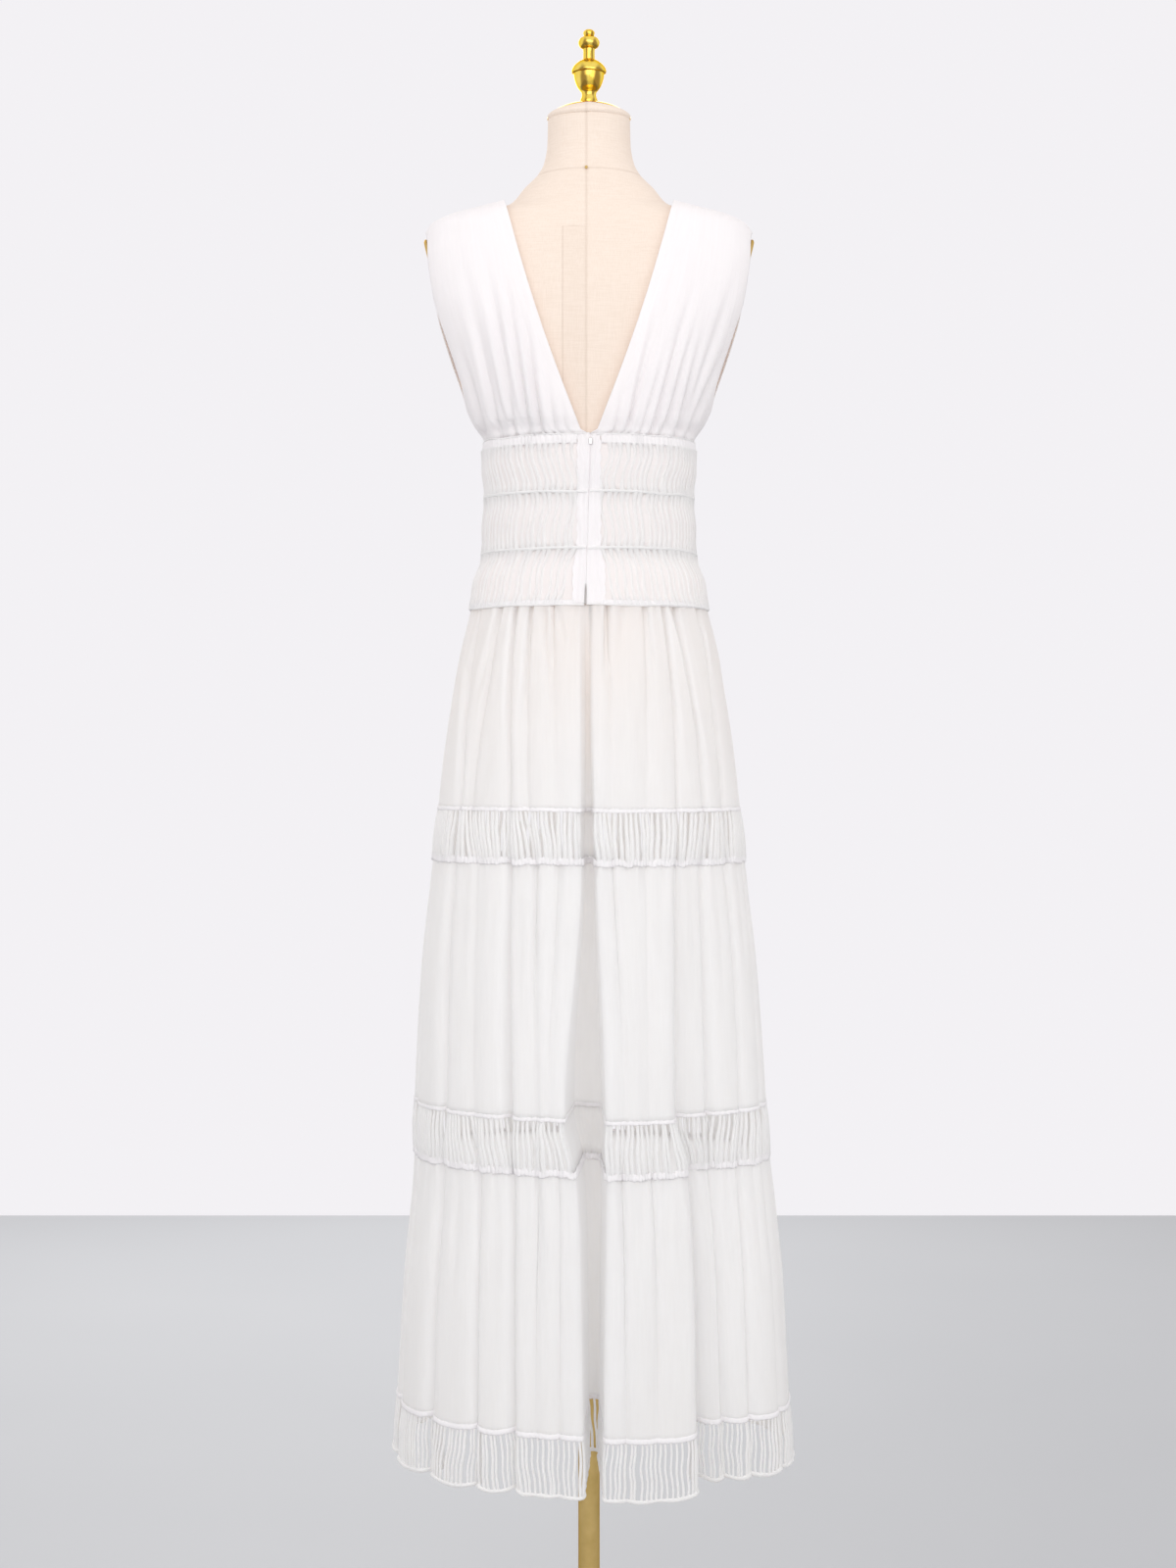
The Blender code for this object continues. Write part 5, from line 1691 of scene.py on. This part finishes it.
# %% The shoulder line and the neckline
BACK_V_HALF_WIDTH = 0.007
FRONT_V_HEIGHT = 0.092
NECKLINE_BOW = 0.006
# One side of the neckline is this far from the middle where the two sides meet.
MEETING_X = 0.0001


def ridge_height(x):
    """Height of the shoulder line at x."""
    levels = np.linspace(Z_SHOULDER_NECK, 1.595, 200)
    widths = section_at(BODICE_SECTIONS, levels).width
    return np.interp(x, widths, levels)


def neckline_x(rise, height_of_v):
    """X of the neckline at each share of the bodice's height."""
    point = height_of_v / (Z_SHOULDER_NECK - Z_WAIST_BANDS[0])
    share = np.clip((rise - point) / (1 - point), 0, 1)
    bow = NECKLINE_BOW * np.sin(math.pi * share)
    start = BACK_V_HALF_WIDTH if height_of_v == 0 else MEETING_X
    return np.where(rise <= point, MEETING_X, start + (NECK_HALF_WIDTH - start) * share + bow)


# %% The smooth form of one panel
# How far the armhole is cut in at each share of the bodice's height, in metres.
ARMHOLE_RISES = (1.0, 0.95, 0.86, 0.7, 0.5, 0.34, 0.24, 0.18, 0.15, 0.0)
ARMHOLE_DEPTHS = (0.0, 0.03, 0.043, 0.049, 0.047, 0.04, 0.031, 0.016, 0.0, 0.0)
PANEL_ROWS, PANEL_COLUMNS = 84, 104


def bodice_grid(back):
    """The smooth form of one panel, on the +X side, from the shoulder down."""
    height_of_v = 0.0 if back else FRONT_V_HEIGHT
    rise = 1 - np.linspace(0, 1, PANEL_ROWS) ** 1.7
    across = np.linspace(0, 1, PANEL_COLUMNS)

    def depth_of(section):
        return section.back if back else section.front

    def height(part, level):
        shoulder = NECK_HALF_WIDTH + (SHOULDER_HALF_WIDTH - NECK_HALF_WIDTH) * part
        return Z_WAIST_BANDS[0] + (ridge_height(shoulder) - Z_WAIST_BANDS[0]) * level

    side = section_at(BODICE_SECTIONS, height(1.0, rise))
    away = eased(ARMHOLE_RISES, ARMHOLE_DEPTHS, rise) / depth_of(side)
    far = side.width * (1 - away**side.power) ** (1 / side.power)
    far[0] = SHOULDER_HALF_WIDTH
    near = neckline_x(rise, height_of_v)
    spread = np.sin(across * math.pi / 2)[None, :]
    share = spread + (across[None, :] - spread) * rise[:, None]
    x = near[:, None] + (far - near)[:, None] * share
    z = height(across[None, :], rise[:, None])
    section = section_at(BODICE_SECTIONS, z)
    y = section_y(section, x, depth_of(section))
    y[0] = 0.0
    return np.stack([x, y, z], -1), rise, across


# %% How deep the pleats and the waist's gathers are
PLEAT_DEPTH = 1.05
PLEAT_WIDTH = 0.82
PLEAT_RIDGE = 0.45
PANEL_GATHERS = 26


def pleat_sink(x, z, pleats):
    sink = np.zeros(x.shape)
    for pleat in pleats:
        share = (z - Z_WAIST_BANDS[0]) / (pleat.top_z - Z_WAIST_BANDS[0])
        middle = pleat.foot_x + (pleat.top_x - pleat.foot_x) * share
        half = PLEAT_WIDTH * pleat.half / 1000 * (1 + 0.7 * np.clip(share, 0, 1))
        away = (x - middle) / half
        fade = smooth_step((1.15 - share) / 0.9) * (0.55 + 0.45 * smooth_step(share / 0.12))
        sink += PLEAT_DEPTH * pleat.depth / 1000 * fade * trough(away, PLEAT_RIDGE)
    return sink


def add_panel_gathers(sink, rise, across, seed):
    """Small gathers that stand on the waist's seam, by a seeded rule."""
    rng = np.random.default_rng(seed)
    for _ in range(PANEL_GATHERS):
        start = rng.uniform(0.02, 0.98)
        lean = rng.uniform(-0.05, 0.12)
        place_at = start + lean * rise[:, None]
        fall = rng.uniform(0.05, 0.16)
        fade = np.exp(-((rise[:, None] / fall) ** 1.5))
        size = rng.uniform(0.6, 1.5) / 1000
        half = rng.uniform(0.01, 0.02)
        sink += size * fade * bell((across[None, :] - place_at) / half)


# %% A panel
NECK_FOLD_AT, NECK_FOLD_HALF, NECK_FOLD_DEPTH = 0.0085, 0.0012, 0.00035
PANEL_THICKNESS = 0.001
# No part of a panel passes the middle plane, where front and back meet.
NEAREST_Y = 0.0002


def bodice_panel(name, mirror, back, pleats, seed):
    """One panel. Its neckline is turned in, with a faint line where the turned edge ends."""
    grid, rise, across = bodice_grid(back)
    x, z = grid[..., 0], grid[..., 2]
    sink = pleat_sink(x, z, pleats)
    add_panel_gathers(sink, rise, across, seed)
    edge = np.minimum(across, 1 - across)[None, :]
    sink *= smooth_step(edge / 0.05) * smooth_step((1 - rise[:, None]) / 0.1)
    fold = bell(((x - x[:, :1]) - NECK_FOLD_AT) / NECK_FOLD_HALF)
    sink += NECK_FOLD_DEPTH * fold * smooth_step((rise[:, None] - 0.1) / 0.2)
    normal = normals_of(grid, False)
    if normal[..., 1].mean() < 0:
        normal = -normal
    grid = grid + normal * (WALL_MIDDLE - sink)[..., None]
    grid[..., 1] = np.maximum(grid[..., 1], NEAREST_Y)
    grid[0, :, 1] = NEAREST_Y
    grid[..., 0] *= mirror
    grid[..., 1] *= 1 if back else -1
    if (mirror > 0) == back:
        grid = grid[:, ::-1]
    return shell_object(name, grid, False, BODICE_COTTON, PANEL_THICKNESS)


# %% Make the four panels
PANELS = [
    ("bodice_back_left", 1, True, BACK_LEFT_PLEATS, 101),
    ("bodice_back_right", -1, True, BACK_RIGHT_PLEATS, 102),
    ("bodice_front_left", 1, False, FRONT_PLEATS, 103),
    ("bodice_front_right", -1, False, FRONT_PLEATS, 104),
]
for name, *rest in PANELS:
    place(bodice_panel(name + "_cloth", *rest), "white_cotton", name)


# %% [markdown]
# ## The dress form's cover
#
# The torso is padding under stretched linen: smooth, firm and closed at the neck and the foot. A
# subdivided rough block would be quick, but the dress must stay clear of it. So its rings come from
# the form's own sections, pressed in a little along the seams, raised under the flap and flat where
# the arm plates lie.

# %% Sections of the torso
Z_NECK_TOP = 1.7545
Z_FORM_FOOT = 1.02
FORM_SECTIONS = [Section(*row) for row in (
    (1.7545, 0.046, 0.05, 0.045),
    (1.725, 0.0468, 0.05, 0.047),
    (1.703, 0.051, 0.053, 0.052),
    (1.69, 0.0585, 0.057, 0.056),
    (1.6755, 0.073, 0.0595, 0.0595),
    (1.656, 0.091, 0.061, 0.063),
    (1.6455, 0.126, 0.0645, 0.068, 2.1),
    (1.6345, 0.159, 0.068, 0.0715, 2.3),
    (1.62, 0.176, 0.0725, 0.0755, 2.5),
    (1.595, 0.179, 0.079, 0.0805, 2.8),
    (1.55, 0.17, 0.094, 0.0875, 3.0),
    (1.51, 0.158, 0.104, 0.089, 2.8),
    (1.47, 0.144, 0.11, 0.087, 2.5),
    (1.435, 0.13, 0.105, 0.084, 2.2),
    (1.391, 0.111, 0.091, 0.0795),
    (1.315, 0.107, 0.083, 0.0775),
    (1.26, 0.111, 0.084, 0.082),
    (1.19, 0.124, 0.09, 0.093),
    (1.095, 0.135, 0.098, 0.104),
    (1.045, 0.132, 0.096, 0.1),
    (1.02, 0.123, 0.088, 0.091),
)]
print("height of the torso:", round(Z_NECK_TOP - Z_FORM_FOOT, 4))

# %% The plane of an arm plate
SEAM_GAP = 0.0003
PLATE_THICKNESS = 0.006
PLATE_TOP_X = 0.1865
PLATE_TOP_Z = 1.62
PLATE_SLOPE = 0.262
PLATE_LEAN = math.atan(PLATE_SLOPE)
print("an arm plate leans by", round(math.degrees(PLATE_LEAN), 1), "degrees")

# %% The linen cover
TORSO_ROWS, TORSO_COLUMNS = 170, 180


def torso_row(height, turn):
    section = section_at(FORM_SECTIONS, np.full(len(turn), height))
    side, rear = np.sin(turn), np.cos(turn)
    x = section.width * np.copysign(np.abs(side) ** (2 / section.power), side)
    y = depth_at(section, turn) * np.copysign(np.abs(rear) ** (2 / section.power), rear)
    limit = PLATE_TOP_X - (PLATE_TOP_Z - height) * PLATE_SLOPE
    limit -= (PLATE_THICKNESS + SEAM_GAP) / math.cos(PLATE_LEAN)
    x = np.clip(x, -limit, limit)
    press = 0.0007 * bell((x - CENTRE_SEAM_X) / 0.0011)
    press += 0.0006 * bell((height - NECK_SEAM_Z) / 0.0014)
    flap = smooth_step((x - FLAP_LEFT) / 0.0015) * smooth_step((FLAP_RIGHT - x) / 0.0015)
    flap = flap * float(smooth_step((FLAP_TOP - height) / 0.002))
    press -= 0.0005 * flap * (rear > 0)
    length = np.hypot(x, y)
    z = np.full(len(turn), height)
    return np.stack([x - press * x / length, y - press * y / length, z], -1)


def torso_cover():
    turn = -math.tau * np.arange(TORSO_COLUMNS) / TORSO_COLUMNS
    heights = np.linspace(Z_NECK_TOP, Z_FORM_FOOT, TORSO_ROWS)
    points = np.concatenate([torso_row(height, turn) for height in heights])
    row, column = np.meshgrid(np.arange(TORSO_ROWS - 1), np.arange(TORSO_COLUMNS), indexing="ij")
    a = (row * TORSO_COLUMNS + column).ravel()
    b = (row * TORSO_COLUMNS + (column + 1) % TORSO_COLUMNS).ravel()
    faces = np.stack([a, a + TORSO_COLUMNS, b + TORSO_COLUMNS, b], 1).tolist()
    faces.append(list(range(TORSO_COLUMNS)))
    faces.append(list(range(len(points) - TORSO_COLUMNS, len(points)))[::-1])
    return mesh_object("form_torso_cover", points.tolist(), faces, LINEN, sharp=50)


# %% Make the cover
cover = place(torso_cover(), "form_linen", "form_torso")

# %% [markdown]
# ## Turned parts
#
# The neck cap, the finial, the pole and the base are round, as if turned on a lathe. Blender's
# Screw modifier could turn a drawn profile. A small function takes it as a table of radius and
# height instead, so every size stays readable, and `softened` rounds the curves between the corners
# that stay sharp.

# %% A solid of revolution
def turned(name, profile, steps, material):
    """The profile's (radius, z) points run from top to bottom."""
    profile = np.asarray(profile, float)
    turn = -math.tau * np.arange(steps) / steps
    points = [(0.0, 0.0, profile[0][1])]
    for radius, z in profile[1:-1]:
        points += [(radius * math.sin(t), radius * math.cos(t), z) for t in turn]
    points.append((0.0, 0.0, profile[-1][1]))
    rings = len(profile) - 2
    faces = []
    for column in range(steps):
        following = (column + 1) % steps
        faces.append((0, 1 + column, 1 + following))
        for ring in range(rings - 1):
            a, b = 1 + ring * steps + column, 1 + ring * steps + following
            faces.append((a, a + steps, b + steps, b))
        last = 1 + (rings - 1) * steps
        faces.append((last + column, len(points) - 1, last + following))
    return mesh_object(name, points, faces, material, sharp=35)


# %% A profile with smooth curves
def softened(profile, steps, corners):
    """A curve through the profile's points, left sharp at these corners."""
    points = np.asarray(profile, float)
    cuts = [0, *corners, len(points) - 1]
    made = []
    for start, end in zip(cuts, cuts[1:]):
        part = points[start : end + 1]
        if len(part) < 3:
            made += part[:-1].tolist()
            continue
        row = np.concatenate([part, np.zeros((len(part), 1))], 1)[None]
        fine, _ = rounded_row(row, np.ones((1, len(part))), [steps] * (len(part) - 1), False)
        made += fine[0, :-1, :2].tolist()
    made.append(points[-1].tolist())
    return np.maximum(np.array(made), [0.0, -1.0])


# %% The neck cap
NECK_CAP_PROFILE = [
    (0.0, 1.7735), (0.0105, 1.7733), (0.02, 1.7712), (0.033, 1.7665), (0.043, 1.7605),
    (0.0468, 1.7572), (0.0468, Z_NECK_TOP + SEAM_GAP), (0.0, Z_NECK_TOP + SEAM_GAP),
]
CAP_LINE = softened(NECK_CAP_PROFILE, 4, (5, 6))
DOME_POINTS = 21

# %% [markdown]
# ## The linen over the neck's rim
#
# Behind, the linen is turned over the rim of the neck and tucked in under the cap, so only a thin
# line of gold shows above it. It could be part of the cover, but it has to lie on the cap, so it is
# a strip of shell that follows the cap's own profile.

# %% Make the turned edge
RIM_HALF_ARC = 78
RIM_COLUMNS = 60
NECK_RIM = (
    (0.0471, 1.7569), (0.0474, 1.7557), (0.047, 1.7544), (0.0458, 1.7532), (0.045, 1.7524)
)


def neck_edge():
    turn = np.radians(np.linspace(-RIM_HALF_ARC, RIM_HALF_ARC, RIM_COLUMNS))
    dome = CAP_LINE[:DOME_POINTS]
    rings = []
    for share in np.linspace(0, 1, 7):
        start = 0.035 + 0.0105 * np.abs(np.sin(turn))
        radius = start + (0.0463 - start) * share
        rings.append((radius, np.interp(radius, dome[:, 0], dome[:, 1]) + 0.0005))
    rings += [(np.full(len(turn), radius), np.full(len(turn), z)) for radius, z in NECK_RIM]
    rows = [
        np.stack([radius * np.sin(turn), radius * np.cos(turn), z], -1)[::-1]
        for radius, z in rings
    ]
    return shell_object("neck_edge_cover", np.array(rows), False, LINEN, 0.0005)


place(neck_edge(), "form_linen")

# %% Make the neck cap
place(turned("neck_cap_dome", CAP_LINE, 96, GOLD), "bright_gold", "neck_cap")

# %% Make the finial
FINIAL_PROFILE = [
    (0.0, 1.856), (0.004, 1.8552), (0.0064, 1.8525), (0.0058, 1.849), (0.0052, 1.8478),
    (0.0098, 1.8456), (0.0119, 1.841), (0.0102, 1.8362), (0.0066, 1.8338), (0.0064, 1.83),
    (0.0066, 1.8222), (0.0125, 1.8188), (0.0178, 1.8135), (0.0196, 1.809), (0.0192, 1.807),
    (0.0172, 1.806), (0.0166, 1.801), (0.0132, 1.7915), (0.0084, 1.785), (0.008, 1.7815),
    (0.0096, 1.7765), (0.0098, 1.7738), (0.0, 1.7738),
]
FINIAL_LINE = softened(FINIAL_PROFILE, 4, (4, 8, 10, 14, 15, 18, 21))
place(turned("finial_turned", FINIAL_LINE, 72, GOLD), "bright_gold", "finial")

# %% Make the base
BASE_HEIGHT = 0.034
BASE_RADIUS = 0.18
BASE_PROFILE = [
    (0.0, BASE_HEIGHT), (0.0205, BASE_HEIGHT), (0.0225, BASE_HEIGHT - 0.002),
    (0.0225, BASE_HEIGHT - 0.009), (0.03, BASE_HEIGHT - 0.012), (BASE_RADIUS - 0.04, 0.0185),
    (BASE_RADIUS - 0.006, 0.0135), (BASE_RADIUS, 0.009), (BASE_RADIUS, 0.0), (0.0, 0.0),
]
BASE_LINE = softened(BASE_PROFILE, 3, (1, 2, 3, 4, 6, 7, 8))
place(turned("stand_base_disc", BASE_LINE, 128, BRASS), "antique_brass", "stand_base")

# %% Make the pole
POLE_RADIUS = 0.012
POLE_PROFILE = [
    (0.0, Z_FORM_FOOT - SEAM_GAP), (POLE_RADIUS - 0.0006, Z_FORM_FOOT - SEAM_GAP),
    (POLE_RADIUS, Z_FORM_FOOT - 0.001), (POLE_RADIUS, 0.5), (POLE_RADIUS, BASE_HEIGHT + 0.001),
    (POLE_RADIUS - 0.0006, BASE_HEIGHT + SEAM_GAP), (0.0, BASE_HEIGHT + SEAM_GAP),
]
place(turned("stand_pole_tube", POLE_PROFILE, 64, BRASS), "antique_brass", "stand_pole")

# %% [markdown]
# ## The arm plates
#
# An oval plate of brass closes each arm hole. It is a disc with a rounded edge, so the same lathe
# makes it with a radius of 1, and its points are then stretched to the oval and leaned with the
# torso. The object itself could be scaled and turned, but a finished piece has its place in its
# mesh.

# %% Make the arm plates
PLATE_HALF_DEPTH = 0.038
PLATE_HALF_HEIGHT = 0.09
HALF_PLATE = PLATE_THICKNESS / 2
PLATE_RINGS = (
    (0.0, HALF_PLATE), (0.9, HALF_PLATE), (0.965, HALF_PLATE * 0.9), (0.99, HALF_PLATE * 0.5),
    (1.0, 0.0), (0.99, -HALF_PLATE * 0.5), (0.965, -HALF_PLATE * 0.9), (0.9, -HALF_PLATE),
    (0.0, -HALF_PLATE),
)


def arm_plate(name, side):
    made = turned(name, PLATE_RINGS, 96, BRASS)
    centre_z = PLATE_TOP_Z - PLATE_HALF_HEIGHT * math.cos(PLATE_LEAN)
    centre_x = PLATE_TOP_X - (PLATE_TOP_Z - centre_z) * PLATE_SLOPE
    centre_x -= HALF_PLATE / math.cos(PLATE_LEAN)
    angle = side * (math.pi / 2 + PLATE_LEAN)
    points = np.array([vertex.co for vertex in made.data.vertices])
    x, y, z = points[:, 0] * PLATE_HALF_HEIGHT, points[:, 1] * PLATE_HALF_DEPTH, points[:, 2]
    turned_x = x * math.cos(angle) + z * math.sin(angle) + side * centre_x
    turned_z = -x * math.sin(angle) + z * math.cos(angle) + centre_z
    made.data.vertices.foreach_set("co", np.stack([turned_x, y, turned_z], -1).ravel())
    made.data.update()
    return made


for side, hand in ((1, "left"), (-1, "right")):
    place(arm_plate(f"arm_plate_{hand}_oval", side), "antique_brass", f"arm_plate_{hand}")


# %% [markdown]
# ## Two solids that stay as they are
#
# The pin in the neck and the zip's slider are smaller than a fingernail and have their true form
# already. New meshes would add nothing, so their own solids show, with a finish put on.

# %% Finish the pin and the slider
for name, finish in (("neck_pin", BRASS), ("zip_slider", STEEL)):
    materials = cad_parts[name].data.materials
    materials.clear()
    materials.append(finish)
    print(name, "takes", finish.name)


# %% [markdown]
# ## The cut of the cloth
#
# A maker cuts flat cloth and gathers it afterwards. Here the cloth is made as it hangs, already
# gathered.

# %% [markdown]
# ## The studio's floor
#
# The stand needs a floor, for its shadow and for the light thrown back into the skirt. A single
# square would do, and a grid of them keeps its shading even. As the stage, it isn't part of the
# model.

# %% Make the floor
FLOOR_HALF = 3.25
FLOOR_TICKS = 27
FLOOR_TONES = (0.39, 0.398, 0.416), (0.405, 0.413, 0.43)


def floor_material():
    material, tree, shader, _ = new_material("studio_floor")
    clouds = noise(tree, node(tree, "ShaderNodeTexCoord").outputs["Object"], 2.0, 1.2)
    tree.links.new(ramp(tree, clouds, *FLOOR_TONES), shader.inputs["Base Color"])
    shader.inputs["Roughness"].default_value = 0.6
    return material


def make_floor():
    ticks = np.linspace(-FLOOR_HALF, FLOOR_HALF, FLOOR_TICKS)
    points = [(x, y, 0.0) for y in ticks for x in ticks]
    corners = (
        row * FLOOR_TICKS + column
        for row in range(FLOOR_TICKS - 1) for column in range(FLOOR_TICKS - 1)
    )
    faces = [(a, a + 1, a + FLOOR_TICKS + 1, a + FLOOR_TICKS) for a in corners]
    mesh_object("studio_floor", points, faces, floor_material())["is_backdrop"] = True
    print("floor:", len(faces), "faces")


make_floor()

# %% [markdown]
# ## Light
#
# White cloth on a pale wall needs soft light, or its folds vanish or burn out. A picture of a sky
# would light it, but lamps can be aimed: a large one behind the dress shades its folds, a weaker
# one fills them, and one in front glows through the voile. A Light Path node lets the camera see a
# wall of another tone than the one that lights.

# %% Soft lamps
def area_light(name, location, aim, size, power):
    light = bpy.data.lights.new(name, "AREA")
    light.shape = "RECTANGLE"
    light.size, light.size_y = size
    light.energy = power
    lamp = bpy.data.objects.new(name, light)
    lamp.location = location
    direction = np.array(aim) - np.array(location)
    flat = math.hypot(direction[0], direction[1])
    lamp.rotation_euler = (
        math.atan2(flat, -direction[2]), 0.0, math.atan2(direction[1], direction[0]) - math.pi / 2
    )
    bpy.context.scene.collection.objects.link(lamp)


area_light("key_light", (0.5, 3.2, 2.15), (0.0, 0.0, 1.35), (3.2, 2.0), 34.5)
area_light("fill_light", (-1.9, 3.3, 1.6), (0.0, 0.0, 1.25), (2.6, 2.0), 17)
area_light("front_light", (0.6, -3.2, 2.2), (0.0, 0.0, 0.8), (2.6, 2.6), 50)
print("lamps:", len(bpy.data.lights))

# %% The wall and the light all round
WALL_TONE = (0.882, 0.864, 0.893, 1.0)
ROOM_LIGHT = {"Color": (1.0, 0.982, 0.988, 1.0), "Strength": 0.88}

world = bpy.data.worlds.new("studio")
world.use_nodes = True
studio = world.node_tree
wall = studio.nodes["Background"]
wall.inputs["Color"].default_value = WALL_TONE
room = node(studio, "ShaderNodeBackground", ROOM_LIGHT)
seen = node(studio, "ShaderNodeLightPath").outputs["Is Camera Ray"]
mixed = over(studio, seen, room.outputs[0], wall.outputs[0])
studio.links.new(mixed, studio.nodes["World Output"].inputs["Surface"])
scene = bpy.context.scene
scene.world = world

# %% [markdown]
# ## How light is counted and shown
#
# Light between folds of white cloth bounces many times before it dies, so the usual few bounces
# would leave the recesses too dark. A gamma a little over 1 softens the contrast.

# %% Bounces and gamma
scene.cycles.max_bounces = 24
scene.cycles.diffuse_bounces = 20
scene.view_settings.view_transform = "Standard"
scene.view_settings.gamma = 1.15
print("bounces:", scene.cycles.max_bounces)

# %% [markdown]
# ## The camera
#
# It looks at the back of the dress from 3 m away, level with the upper skirt. A short lens from
# close by would spread the hem, so it is a long one, and the dress keeps its proportions.

# %% Place the camera
camera = bpy.data.cameras.new("camera")
camera.lens = 61.36
camera.sensor_width = 36.0
camera.shift_x = -0.000625
eye = bpy.data.objects.new("camera", camera)
eye.location = (0.0, 3.0, 1.009)
eye.rotation_euler = (math.pi / 2, 0.0, math.pi)
scene.collection.objects.link(eye)
scene.camera = eye
print("camera:", tuple(eye.location))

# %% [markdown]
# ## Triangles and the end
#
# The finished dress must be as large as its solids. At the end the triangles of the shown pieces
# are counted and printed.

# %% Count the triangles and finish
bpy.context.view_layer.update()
total = sum(
    sum(len(face.vertices) - 2 for face in piece.data.polygons)
    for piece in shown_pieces() if piece.type == "MESH"
)
print("triangles in all:", total)
